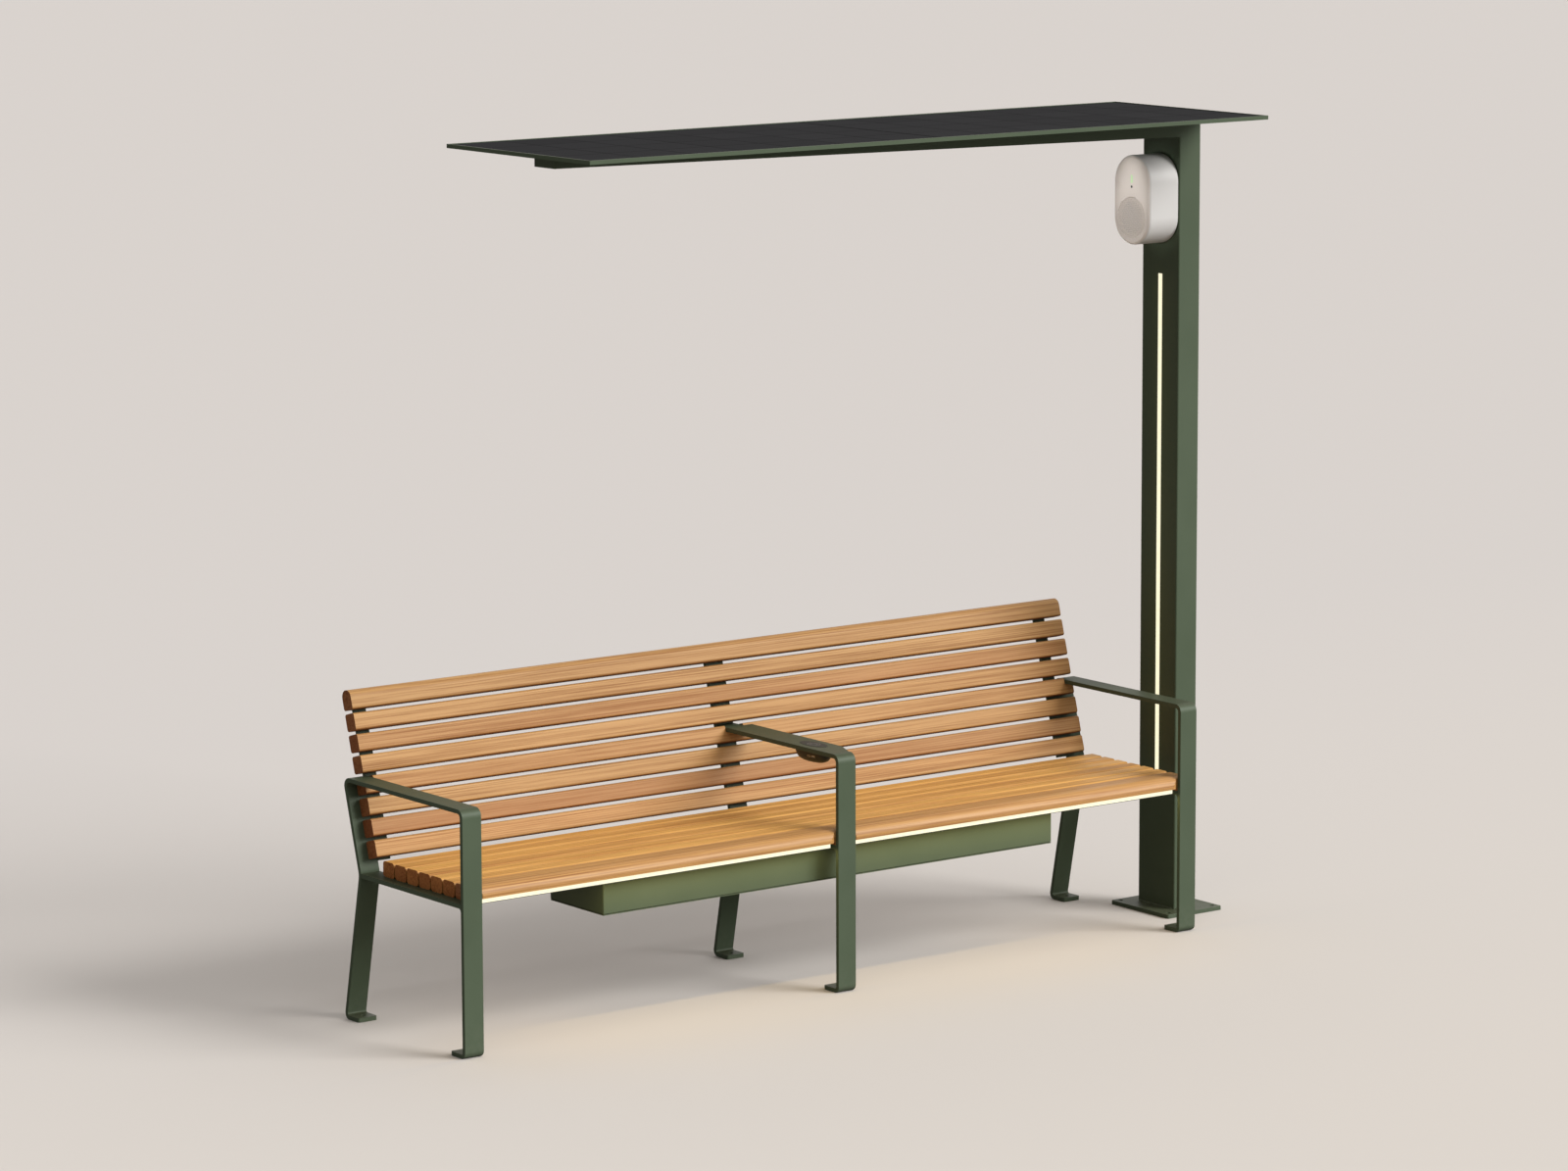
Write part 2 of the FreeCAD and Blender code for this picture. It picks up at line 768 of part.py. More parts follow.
def along_x(radius, x0, x1, y=hinge_y, z=hinge_z):
    """Round bar along the bench, on the hinge line unless told otherwise."""
    return Part.makeCylinder(radius, x1 - x0, Vector(x0, y, z), Vector(1, 0, 0))


door_screw_xs = [box_x0 + door_screw_end, bench_length / 2 - hinge_spread / 3,
                 bench_length / 2 + hinge_spread / 3, box_x1 - door_screw_end]
door_screw_y = box_front_y + door_screw_edge


def battery_box():
    """Folded steel box, open below, with an inward lip, screw inserts, hinge leaves and gland holes."""
    outer = box(box_x0, box_x1, box_front_y, box_y1, box_low, box_top)
    outer = rounded(outer, box_corner_r, lambda e: runs_along(e, Vector(0, 0, 1)))
    wall = box_wall
    hollow = box(box_x0 + wall, box_x1 - wall, box_front_y + wall, box_y1 - wall,
                 box_low + wall, box_top - wall)
    mouth = box(box_x0 + box_lip, box_x1 - box_lip, box_front_y + box_lip, box_y1 - box_lip,
                box_low - 1, box_low + wall + 1)
    shell = outer.cut(hollow).cut(mouth)
    for x in door_screw_xs:
        insert = Part.makeCylinder(insert_r, insert_height, Vector(x, door_screw_y, box_low + wall))
        shell = shell.fuse(insert)
    leaf_y1 = box_y1 + hinge_leaf_thick
    leaf_low = hinge_z + knuckle_r + hinge_leaf_gap
    for x in hinge_xs:
        shell = shell.fuse(box(x - hinge_length / 2, x + hinge_length / 2, box_y1, leaf_y1,
                               leaf_low, hinge_z + knuckle_r + hinge_leaf_height))
        for x0, x1 in shell_knuckles(x):
            tongue = box(x0, x1, box_y1, leaf_y1, hinge_z, leaf_low + 1)
            knuckle = along_x(knuckle_r, x0, x1)
            filler = box(x0, x1, box_y1, hinge_y, hinge_z, hinge_z + hinge_leaf_thick)
            shell = shell.fuse(tongue).fuse(filler).fuse(knuckle)
            shell = shell.cut(along_x(hinge_pin_r + hinge_pin_clear, x0 - 1, x1 + 1))
    for x in door_screw_xs:
        bore = door_screw_r + insert_clear
        shell = shell.cut(Part.makeCylinder(bore, 4 * insert_height, Vector(x, door_screw_y, box_low - 5)))
    for x in bolt_xs:
        for y in bolt_ys:
            shell = shell.cut(Part.makeCylinder(bolt_hole_r, 20, Vector(x, y, box_top - 10)))
    for y in gland_ys():
        shell = shell.cut(along_x(gland_neck_r, box_x1 - 10, box_x1 + 10, y, gland_z()))
    return shell


def gland_ys():
    """y of the two cable glands in the box's right end."""
    middle = (box_front_y + box_y1) / 2 + gland_shift_y
    return [middle - gland_pitch / 2, middle + gland_pitch / 2]


def gland_z():
    """Height of the cable glands."""
    return (box_low + box_top) / 2


def cable_glands():
    """Two glands in the box's end wall and the lined cable hole of the base plate."""
    solids = []
    for y in gland_ys():
        neck_x0 = box_x1 - box_wall - gland_tail
        body = along_x(gland_neck_r - snug_fit, neck_x0, box_x1 + 1, y, gland_z())
        collar = along_x(gland_r, box_x1, box_x1 + gland_body, y, gland_z())
        bore = along_x(gland_bore_r, box_x1 - 20, box_x1 + 30, y, gland_z())
        solids.append(body.fuse(collar).cut(bore))
    sleeve = Part.makeCylinder(plate_cable_r - snug_fit, plate_thick, Vector(post_cx, post_setback, 0))
    flange = Part.makeCylinder(plate_cable_r + grommet_flange, grommet_flange_thick,
                               Vector(post_cx, post_setback, plate_thick))
    bore = Part.makeCylinder(plate_cable_r - grommet_wall, 60, Vector(post_cx, post_setback, -20))
    solids.append(sleeve.fuse(flange).cut(bore))
    return Part.makeCompound(solids)


def shell_knuckles(x):
    """Spans of the box's two knuckles on the hinge at x."""
    half = hinge_length / 2
    inner = hinge_door_share / 2
    return [(x - half, x - inner), (x + inner, x + half)]


def door_seal():
    """Foam ring between the box's lip and the door."""
    edge = box_wall
    ring = box(box_x0 + edge, box_x1 - edge, box_front_y + edge, box_y1 - edge, seal_low, box_low)
    inner = edge + seal_width
    hole = box(box_x0 + inner, box_x1 - inner, box_front_y + inner, box_y1 - inner,
               seal_low - 1, box_low + 1)
    return ring.cut(hole)


def battery_box_door():
    """Drop-down door that closes the box from below, with a knuckle on each hinge."""
    door = box(box_x0, box_x1, box_front_y, box_y1, door_low, seal_low)
    door = rounded(door, box_corner_r, lambda e: runs_along(e, Vector(0, 0, 1)))
    inner = hinge_door_share / 2 - hinge_side_gap
    for x in hinge_xs:
        leaf = box(x - inner, x + inner, box_y1 - box_wall, hinge_y, door_low, seal_low)
        door = door.fuse(leaf).fuse(along_x(knuckle_r, x - inner, x + inner))
        door = door.cut(along_x(hinge_pin_r + hinge_pin_clear, x - inner - 1, x + inner + 1))
    for x in door_screw_xs:
        hole = Part.makeCylinder(door_screw_r + screw_clear, 20, Vector(x, door_screw_y, door_low - 5))
        door = door.cut(hole)
    return door


def hinge_pins():
    """Three pins fixed in the box's knuckles."""
    half = hinge_length / 2 + hinge_pin_end
    return Part.makeCompound([along_x(hinge_pin_r, x - half, x + half) for x in hinge_xs])


def door_screws():
    """Four captive screws that hold the door's front edge up."""
    solids = []
    for x in door_screw_xs:
        top = box_low + box_wall + insert_height - door_screw_tip_gap
        shank = Part.makeCylinder(door_screw_r, top - door_low, Vector(x, door_screw_y, door_low))
        head_z = door_low - door_screw_head_h
        head = Part.makeCylinder(door_screw_head_r, door_screw_head_h, Vector(x, door_screw_y, head_z))
        socket_place = Vector(x, door_screw_y, head_z - 1)
        socket = Part.makeCylinder(screw_socket_r, screw_socket_depth + 1, socket_place)
        solids.append(shank.fuse(head).cut(socket))
    return Part.makeCompound(solids)


def battery(side):
    """One sealed battery pack hung from the box's top; side is -1 left or 1 right."""
    if side < 0:
        x0 = box_x0 + battery_end_gap
    else:
        x0 = box_x1 - battery_end_gap - battery_length
    middle = (box_front_y + box_y1) / 2
    top = box_top - box_wall
    pack = box(x0, x0 + battery_length, middle - battery_depth / 2, middle + battery_depth / 2,
               top - battery_height, top)
    pack = rounded(pack, battery_corner_r, lambda e: runs_along(e, Vector(0, 0, 1)))
    front = middle - battery_depth / 2
    for groove_x in (x0 + strap_inset, x0 + battery_length - strap_inset - strap_width):
        pack = pack.cut(box(groove_x, groove_x + strap_width, front - 1, front + strap_depth,
                            top - battery_height - 1, top + 1))
    return pack


def charge_controller():
    """Charge controller hung from the box's top, with fins below."""
    middle_x = bench_length / 2
    middle_y = (box_front_y + box_y1) / 2
    top = box_top - box_wall
    body_low = top - controller_height + controller_fin_height
    x0 = middle_x - controller_length / 2
    y0 = middle_y - controller_depth / 2
    body = box(x0, x0 + controller_length, y0, y0 + controller_depth, body_low, top)
    step = (controller_length - controller_fin_thick) / (controller_fin_count - 1)
    for i in range(controller_fin_count):
        fin_x = x0 + i * step
        fin = box(fin_x, fin_x + controller_fin_thick, y0, y0 + controller_depth * controller_fin_share,
                  body_low - controller_fin_height, body_low + 1)
        body = body.fuse(fin)
    return body


def light_span(bay):
    """x range of the seat light in one bay."""
    return frame_xs[bay] + bar_width + light_start_gap, frame_xs[bay + 1] - light_end_gap


light_front_y = nose_front_y + light_setback
light_top = rail_top + nose_lip_height
light_low = light_top - light_height


def seat_light_channel(bay):
    """Aluminium trough under the nose slat, open to the front."""
    x0, x1 = light_span(bay)
    wall = light_wall
    body = box(x0, x1, light_front_y, light_front_y + light_depth, light_low, light_top)
    return body.cut(box(x0 - 1, x1 + 1, light_front_y - 1, light_front_y + light_depth - wall,
                        light_low + wall, light_top - wall))


def seat_light_diffuser(bay):
    """Opal strip that closes the trough."""
    x0, x1 = light_span(bay)
    wall = light_wall
    return box(x0, x1, light_front_y, light_front_y + diffuser_thick, light_low + wall, light_top - wall)


def light_strips():
    """Three flexible light strips: two in the seat troughs, one in the post's."""
    solids = []
    mid_z = (light_low + light_top) / 2
    half = strip_width / 2
    for bay in (0, 1):
        x0, x1 = light_span(bay)
        y1 = light_front_y + light_depth - light_wall
        solids.append(box(x0 + strip_end_gap, x1 - strip_end_gap, y1 - strip_thick, y1,
                          mid_z - half, mid_z + half))
    x1 = post_x0 + post_light_depth - light_wall
    solids.append(box(x1 - strip_thick, x1, post_setback - half, post_setback + half,
                      post_light_low + strip_end_gap, post_light_high - strip_end_gap))
    return Part.makeCompound(solids)


def oval(length, width, z, height, grow=0.0):
    """Upright oval prism on the middle arm, its long way along the arm."""
    return Part.Face(oval_wire(length + 2 * grow, width + 2 * grow, z)).extrude(Vector(0, 0, height))


def oval_wire(length, width, z):
    """Level oval outline on the middle arm at height z."""
    center = Vector(pad_center_x, pad_center_y, z)
    far = center + Vector(0, length / 2, 0)
    side = center + Vector(width / 2, 0, 0)
    return Part.Wire(Part.Ellipse(far, side, center).toShape())


def charging_pad():
    """Oval pad set in the middle arm's recess, a little proud of it."""
    return oval(pad_length, pad_width, arm_height + pad_proud - pad_thick, pad_thick, -pad_fit)


def pod_body(shrink):
    """Half bowl under the middle arm: an oval that draws in towards its floor."""
    sections = []
    for share, scale in pod_profile:
        depth = (pod_depth - shrink) * share
        curve_length = (pod_length - 2 * shrink) * scale ** pod_length_hold
        curve_width = (pod_width - 2 * shrink) * scale
        sections.append(oval_wire(curve_length, curve_width, arm_low - depth))
    return Part.makeLoft(sections, True, False)


def socket_ys():
    """y of the two charging sockets."""
    middle = pad_center_y + socket_shift_y
    return [middle - socket_pitch / 2, middle + socket_pitch / 2]


def socket_block(y, grow=0.0):
    """Space of one socket in the pod's left side."""
    z = arm_low - socket_drop
    x0 = pad_center_x - pod_width / 2 - 2
    return box(x0, x0 + socket_depth + 4, y - socket_width / 2 - grow, y + socket_width / 2 + grow,
               z - socket_height / 2 - grow, z + socket_height / 2 + grow)


def charger_pod():
    """Shell of the charger's bowl, with two socket holes in its left side."""
    shell = pod_body(0.0).cut(pod_body(pod_wall))
    for y in socket_ys():
        shell = shell.cut(socket_block(y, snug_fit))
    return shell


def usb_sockets():
    """Two metal sockets in the pod's left side."""
    solids = []
    outer_skin = pod_body(0.0)
    for y in socket_ys():
        block = socket_block(y).common(outer_skin)
        z = arm_low - socket_drop
        x0 = pad_center_x - pod_width / 2 - 5
        bore = box(x0, x0 + socket_depth + 3, y - socket_bore_width / 2, y + socket_bore_width / 2,
                   z - socket_bore_height / 2, z + socket_bore_height / 2)
        solids.append(block.cut(bore))
    return Part.makeCompound(solids)


def charging_coil():
    """Flat wound coil on the underside of the pad, inside the arm's opening."""
    top = arm_height + pad_proud - pad_thick
    low = Vector(pad_center_x, pad_center_y, top - coil_thick)
    ring = Part.makeCylinder(coil_r, coil_thick, low)
    bore = Part.makeCylinder(coil_bore_r, 3 * coil_thick, low - Vector(0, 0, coil_thick))
    return ring.cut(bore)


def post_tube():
    """Rectangular tube, mitred at the top to meet the beam, slotted for the light."""
    outer = box(post_x0, post_x1, post_y0, post_y1, plate_thick, canopy_low)
    outer = rounded(outer, post_corner_r, lambda e: runs_along(e, Vector(0, 0, 1)))
    wall = post_wall
    inner = box(post_x0 + wall, post_x1 - wall, post_y0 + wall, post_y1 - wall,
                plate_thick - 1, canopy_low + 1)
    tube = outer.cut(inner).cut(mitre_side(True))
    half = post_light_width / 2 + snug_fit
    tube = tube.cut(box(post_x0 - 1, post_x0 + wall + 1, post_setback - half, post_setback + half,
                        post_light_low - snug_fit, post_light_high + snug_fit))
    return tube.cut(across(speaker_cable_r, post_x0 - 1, post_x0 + wall + 1, speaker_center_z))


def mitre_side(above):
    """Wedge on one side of the mitre plane between post and beam."""
    low = Vector(post_x0, canopy_y0, beam_low)
    high = Vector(post_x1, canopy_y0, canopy_low)
    run = 4 * (high - low)
    start, end = low - run, high + run
    lift = Vector(0, 0, canopy_top if above else -canopy_top)
    corners = [start, end, end + lift, start + lift, start]
    return Part.Face(Part.makePolygon(corners)).extrude(Vector(0, canopy_depth, 0))


def beam_section(x, width, low, high):
    """Upright rectangle across the beam."""
    y0, y1 = post_setback - width / 2, post_setback + width / 2
    corners = [Vector(x, y0, low), Vector(x, y1, low), Vector(x, y1, high), Vector(x, y0, high)]
    return Part.makePolygon(corners + corners[:1])


def beam_size_at(x):
    """Width and depth of the beam at x on its tapered run."""
    share = (x - beam_tip_x) / (post_x0 - beam_tip_x)
    width = beam_tip_width + (post_y - beam_tip_width) * share
    depth = beam_tip_depth + (beam_root_depth - beam_tip_depth) * share
    return width, depth


def beam_solid(inset, high):
    """Tapered body of the beam, drawn in by the inset on its sides and floor."""
    tip_x = beam_tip_x + inset
    width, depth = beam_size_at(tip_x)
    tip = beam_section(tip_x, width - 2 * inset, canopy_low - depth + inset, high)
    root = beam_section(post_x0, post_y - 2 * inset, beam_low + inset, high)
    end = beam_section(post_x1 + 1, post_y - 2 * inset, beam_low + inset, high)
    return Part.makeLoft([tip, root], True, True).fuse(Part.makeLoft([root, end], True, True))


def canopy_beam():
    """Tapered open-topped steel beam from the post's mitre to the canopy's far end."""
    body = beam_solid(0.0, canopy_low).cut(beam_solid(beam_wall, canopy_low + 1))
    return body.cut(mitre_side(False)).common(box(0, post_x1, post_y0, post_y1, 0, canopy_low))


def junction_xs():
    """Middle of each junction box, under the middle of its panel."""
    return [panel_span(0)[0] + panel_length() / 2, panel_span(1)[0] + panel_length() / 2]


def panel_length():
    """Length of one solar panel along the canopy."""
    return (canopy_length - 2 * tray_rim - 2 * panel_gap - panel_seam) / 2


def panel_span(number):
    """x range of one panel."""
    x0 = canopy_x0 + tray_rim + panel_gap + number * (panel_length() + panel_seam)
    return x0, x0 + panel_length()


def canopy_tray():
    """Shallow folded tray that frames and carries the two panels."""
    tray = box(canopy_x0, canopy_x1, canopy_y0, canopy_y1, canopy_low, canopy_top)
    tray = rounded(tray, tray_corner_r, lambda e: runs_along(e, Vector(0, 0, 1)))
    rim = tray_rim
    tray = tray.cut(box(canopy_x0 + rim, canopy_x1 - rim, canopy_y0 + rim, canopy_y1 - rim,
                        canopy_low + tray_skin, canopy_top + 1))
    for x in junction_xs():
        half_x = junction_length / 2 + junction_fit
        half_y = junction_width / 2 + junction_fit
        y0, y1 = post_setback - half_y, post_setback + half_y
        tray = tray.cut(box(x - half_x, x + half_x, y0, y1, canopy_low - 1, canopy_low + tray_skin + 1))
    return tray


def solar_panel(number):
    """Glass laminate that fills half of the tray."""
    x0, x1 = panel_span(number)
    edge = tray_rim + panel_gap
    panel = box(x0, x1, canopy_y0 + edge, canopy_y1 - edge, canopy_low + tray_skin, canopy_top - rim_proud)
    return rounded(panel, panel_edge_r, lambda e: e.BoundBox.ZMin > canopy_top - rim_proud - 0.1)


def junction_boxes():
    """Connection boxes on the backs of the panels, inside the beam."""
    solids = []
    for x in junction_xs():
        top = canopy_low + tray_skin
        body = box(x - junction_length / 2, x + junction_length / 2, post_setback - junction_width / 2,
                   post_setback + junction_width / 2, top - junction_height, top)
        solids.append(rounded(body, junction_corner_r, lambda e: runs_along(e, Vector(0, 0, 1))))
    return Part.makeCompound(solids)


def base_plate():
    """Ground plate of the post, with four empty bolt holes and a cable hole."""
    y0 = post_setback - plate_y / 2
    plate = box(plate_x0, plate_x1, y0, y0 + plate_y, 0, plate_thick)
    plate = rounded(plate, plate_corner_r, lambda e: runs_along(e, Vector(0, 0, 1)))
    plate = rounded(plate, bar_edge_r, lambda e: e.BoundBox.ZMin > plate_thick - 0.1)
    for x in (plate_x0 + plate_hole_inset, plate_x1 - plate_hole_inset):
        for y in (y0 + plate_hole_inset, y0 + plate_y - plate_hole_inset):
            plate = plate.cut(Part.makeCylinder(plate_hole_r, 3 * plate_thick, Vector(x, y, -plate_thick)))
    cable_place = Vector(post_cx, post_setback, -plate_thick)
    return plate.cut(Part.makeCylinder(plate_cable_r, 3 * plate_thick, cable_place))


def post_light_channel():
    """Aluminium trough let into the post's left face."""
    half = post_light_width / 2
    wall = light_wall
    body = box(post_x0, post_x0 + post_light_depth, post_setback - half, post_setback + half,
               post_light_low, post_light_high)
    return body.cut(box(post_x0 - 1, post_x0 + post_light_depth - wall, post_setback - half + wall,
                        post_setback + half - wall, post_light_low + wall, post_light_high - wall))


def post_light_diffuser():
    """Opal strip, flush with the post's left face."""
    half = post_light_width / 2 - light_wall
    return box(post_x0, post_x0 + diffuser_thick, post_setback - half, post_setback + half,
               post_light_low + light_wall, post_light_high - light_wall)


def stadium(width, height, x0, depth, center_z=speaker_center_z):
    """Upright stadium prism that runs along x from x0."""
    radius = width / 2
    reach = height / 2 - radius
    y0, y1 = post_setback - radius, post_setback + radius
    low, high = center_z - reach, center_z + reach
    corners = [Vector(x0, y0, low), Vector(x0, y0, high), Vector(x0, y1, high), Vector(x0, y1, low)]
    crest = Vector(x0, post_setback, high + radius)
    trough = Vector(x0, post_setback, low - radius)
    edges = [
        Part.LineSegment(corners[0], corners[1]).toShape(),
        Part.Arc(corners[1], crest, corners[2]).toShape(),
        Part.LineSegment(corners[2], corners[3]).toShape(),
        Part.Arc(corners[3], trough, corners[0]).toShape(),
    ]
    return Part.Face(Part.Wire(edges)).extrude(Vector(depth, 0, 0))


speaker_x0 = post_x0 - speaker_depth
grille_z = speaker_center_z - speaker_height / 2 + speaker_width / 2


def across(radius, x0, x1, z, y=post_setback):
    """Round bar along x through the speaker's front."""
    return Part.makeCylinder(radius, x1 - x0, Vector(x0, y, z), Vector(1, 0, 0))


def pill(grow, x0, x1):
    """Upright pill shape of the status light, along x."""
    z = speaker_center_z + light_pill_rise
    return stadium(light_pill_width + 2 * grow, light_pill_height + 2 * grow, x0, x1 - x0, z)


def speaker_housing():
    """Moulded shell with softly rounded edges, open to the post, with seats for grille and light."""
    body = stadium(speaker_width, speaker_height, speaker_x0, speaker_depth)
    body = rounded(body, speaker_edge_r, lambda e: e.BoundBox.XMax < speaker_x0 + 0.1)
    body = rounded(body, speaker_back_edge_r, lambda e: e.BoundBox.XMin > post_x0 - 0.1)
    side = 2 * speaker_side_wall
    inside_x = speaker_x0 + speaker_front_wall
    body = body.cut(stadium(speaker_width - side, speaker_height - side, inside_x, speaker_depth))
    body = body.cut(across(grille_r + grille_fit, speaker_x0 - 1, speaker_x0 + grille_thick, grille_z))
    body = body.cut(across(driver_mouth_r, speaker_x0 - 1, inside_x + 1, grille_z))
    body = body.cut(pill(pill_fit, speaker_x0 - 1, inside_x + 1))
    sensor_z = speaker_center_z + sensor_rise
    return body.cut(across(sensor_r + pill_fit, speaker_x0 - 1, inside_x + 1, sensor_z))


def speaker_grille():
    """Round perforated face over the driver."""
    x0, x1 = speaker_x0 + grille_sink, speaker_x0 + grille_thick
    disc = across(grille_r, x0, x1, grille_z)
    reach = grille_r - grille_margin - grille_hole_r
    row_step = grille_pitch * math.sin(math.radians(60))
    rows = int(reach / row_step)
    holes = []
    for row in range(-rows, rows + 1):
        shift = grille_pitch / 2 if row % 2 else 0.0
        for column in range(-rows - 1, rows + 2):
            dy = column * grille_pitch + shift
            dz = row * row_step
            if math.hypot(dy, dz) <= reach:
                holes.append(across(grille_hole_r, x0 - 1, x1 + 1, grille_z + dz, post_setback + dy))
    return disc.cut(holes)


def speaker_driver():
    """Loudspeaker behind the grille: basket flange, cone body and magnet."""
    seat = speaker_x0 + speaker_front_wall
    rear = seat + driver_depth
    flange = across(driver_r, seat, seat + driver_flange, grille_z)
    basket_depth = driver_depth - driver_flange - driver_magnet_thick
    basket = Part.makeCone(driver_mouth_r, driver_magnet_r, basket_depth,
                           Vector(seat + driver_flange, post_setback, grille_z), Vector(1, 0, 0))
    magnet = across(driver_magnet_r, rear - driver_magnet_thick, rear, grille_z)
    dish = Part.makeCone(driver_mouth_r - driver_flange, driver_dish_r, driver_dish_r,
                         Vector(seat, post_setback, grille_z), Vector(1, 0, 0))
    return flange.fuse(basket).fuse(magnet).cut(dish)


def speaker_bracket():
    """Plate on the post that the speaker unit slides over."""
    trim = 2 * speaker_side_wall + 2 * speaker_fit
    plate_face_x = post_x0 - speaker_plate_thick
    plate = stadium(speaker_width - trim, speaker_height - trim, plate_face_x, speaker_plate_thick)
    return plate.cut(across(speaker_cable_r, plate_face_x - 1, post_x0 + 1, speaker_center_z))


def status_lights():
    """Green pill light and round presence sensor in the speaker's face."""
    x0, x1 = speaker_x0 + pill_sink, speaker_x0 + pill_depth
    light = pill(0.0, x0, x1)
    sensor = across(sensor_r, x0, x1, speaker_center_z + sensor_rise)
    return Part.makeCompound([light, sensor])


def save(name, shape):
    """Move a sub-part to the object's frame and write it to its file."""
    shape = shape.removeSplitter() if shape.ShapeType != "Compound" or len(shape.Solids) == 1 else shape
    shape = shape.translated(to_origin)
    solids = shape.Solids
    if not solids:
        raise ValueError(name + " has no solid")
    if not all(s.isValid() for s in solids):
        raise ValueError(name + " is not valid")
    print(name, len(solids), "solids", round(sum(s.Volume for s in solids) / 1000, 1), "cm3")
    shape.exportStep(os.path.join("parts", name + ".step"))


save("frame_left", end_frame(frame_xs[0]))
save("frame_right", end_frame(frame_xs[2]))
save("frame_middle_front", middle_front())
save("frame_middle_back", middle_back())
for side_name, rail_x in zip(("left", "middle", "right"), frame_xs):
    save("seat_rail_" + side_name, seat_rail(rail_x))
for side_name, upright_x in zip(("left", "right"), upright_xs):
    save("back_upright_" + side_name, back_upright(upright_x))
for slat_number in range(1, back_slat_count + 1):
    save("back_slat_%d" % slat_number, back_slat(slat_number))
for slat_number in range(1, seat_slat_count + 1):
    save("seat_slat_%d" % slat_number, seat_slat(slat_number))
save("seat_nose_slat", nose_slat())
save("back_slat_screws", back_screws())
save("seat_slat_screws", seat_screws())
for bay_number, side_name in enumerate(("left", "right")):
    save("seat_light_channel_" + side_name, seat_light_channel(bay_number))
    save("seat_light_diffuser_" + side_name, seat_light_diffuser(bay_number))
save("light_strips", light_strips())
save("seat_battens", seat_battens())
save("battery_box", battery_box())
save("battery_box_door", battery_box_door())
save("door_seal", door_seal())
save("door_hinge_pins", hinge_pins())
save("door_screws", door_screws())
save("box_bolts", box_bolts())
save("battery_left", battery(-1))
save("battery_right", battery(1))
save("charge_controller", charge_controller())
save("cable_glands", cable_glands())
save("charging_pad", charging_pad())
save("charging_coil", charging_coil())
save("charger_pod", charger_pod())
save("usb_sockets", usb_sockets())
save("post_tube", post_tube())
save("post_base_plate", base_plate())
save("post_light_channel", post_light_channel())
save("post_light_diffuser", post_light_diffuser())
save("canopy_beam", canopy_beam())
save("canopy_tray", canopy_tray())
save("solar_panel_left", solar_panel(0))
save("solar_panel_right", solar_panel(1))
save("junction_boxes", junction_boxes())
save("speaker_bracket", speaker_bracket())
save("speaker_housing", speaker_housing())
save("speaker_grille", speaker_grille())
save("speaker_driver", speaker_driver())
save("status_lights", status_lights())
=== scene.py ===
"""Looks, lights and camera for the solar charging bench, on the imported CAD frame."""

import json
import logging
import math
import random
from dataclasses import dataclass
from enum import Enum
from typing import Optional, Sequence, Union

import bmesh
import bpy
from mathutils import Matrix, Vector

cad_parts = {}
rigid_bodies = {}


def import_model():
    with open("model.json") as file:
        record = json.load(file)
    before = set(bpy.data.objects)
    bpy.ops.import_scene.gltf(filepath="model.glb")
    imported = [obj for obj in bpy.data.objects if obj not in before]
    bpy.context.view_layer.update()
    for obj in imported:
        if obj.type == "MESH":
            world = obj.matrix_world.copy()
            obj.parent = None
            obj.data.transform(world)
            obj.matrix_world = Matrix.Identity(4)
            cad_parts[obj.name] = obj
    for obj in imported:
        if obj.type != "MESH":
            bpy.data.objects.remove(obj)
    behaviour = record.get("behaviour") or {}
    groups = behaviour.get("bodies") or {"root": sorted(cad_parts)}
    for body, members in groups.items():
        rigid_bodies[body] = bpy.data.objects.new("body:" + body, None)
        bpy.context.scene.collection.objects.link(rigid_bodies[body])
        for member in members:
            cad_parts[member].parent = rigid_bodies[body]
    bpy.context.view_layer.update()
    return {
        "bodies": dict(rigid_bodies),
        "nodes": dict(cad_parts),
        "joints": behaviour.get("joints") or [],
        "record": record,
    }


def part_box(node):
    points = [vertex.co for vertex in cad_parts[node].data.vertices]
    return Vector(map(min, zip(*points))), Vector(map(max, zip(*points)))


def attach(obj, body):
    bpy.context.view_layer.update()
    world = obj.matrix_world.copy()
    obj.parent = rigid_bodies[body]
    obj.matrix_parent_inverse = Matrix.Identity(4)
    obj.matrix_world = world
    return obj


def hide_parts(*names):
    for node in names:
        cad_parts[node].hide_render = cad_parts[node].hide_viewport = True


LOG = logging.getLogger("bench")

Color = tuple[float, float, float]
Point = tuple[float, float, float]
Socket = bpy.types.NodeSocket
Source = Union[Socket, float, Sequence[float], None]

X_AXIS = Vector((1.0, 0.0, 0.0))
Y_AXIS = Vector((0.0, 1.0, 0.0))
Z_AXIS = Vector((0.0, 0.0, 1.0))

FLOAT_SOCKET = "NodeSocketFloat"
VECTOR_SOCKET = "NodeSocketVector"
COLOR_SOCKET = "NodeSocketColor"

# Colour sockets of the Mix node, whose names other kinds of sockets share.
MIX_A = 6
MIX_B = 7
MIX_RESULT = 2

# Steps between nodes in the node editor, and nodes in a column before it starts again.
NODE_STEP = (180, 160)
NODE_ROWS = 4

NOSE = "seat_nose_slat"
RING_SIDES = 64


class Body(Enum):
    """The rigid body that new pieces ride on."""

    BENCH = "bench"


class Slot(Enum):
    """The record's material slots, which are passed with new pieces."""

    PAINT = "frame_paint"
    PANEL = "panel_glass"
    PAD = "charging_pad"


class SawCut(Enum):
    """How a board was sawn from the log, which turns the growth rings on its face."""

    QUARTER = "quarter"
    FLAT = "flat"


def put(name: str, data: bpy.types.ID) -> bpy.types.Object:
    """Make an object and link it to the scene.

    Args:
        name: Name of the object.
        data: Its mesh, lamp or camera.

    Returns:
        The new object.
    """
    obj = bpy.data.objects.new(name, data)
    bpy.context.scene.collection.objects.link(obj)
    return obj


def rgba(color: Sequence[float]) -> tuple[float, float, float, float]:
    """Add full alpha to a colour.

    Args:
        color: Red, green and blue.

    Returns:
        Four numbers.
    """
    return (color[0], color[1], color[2], 1.0)


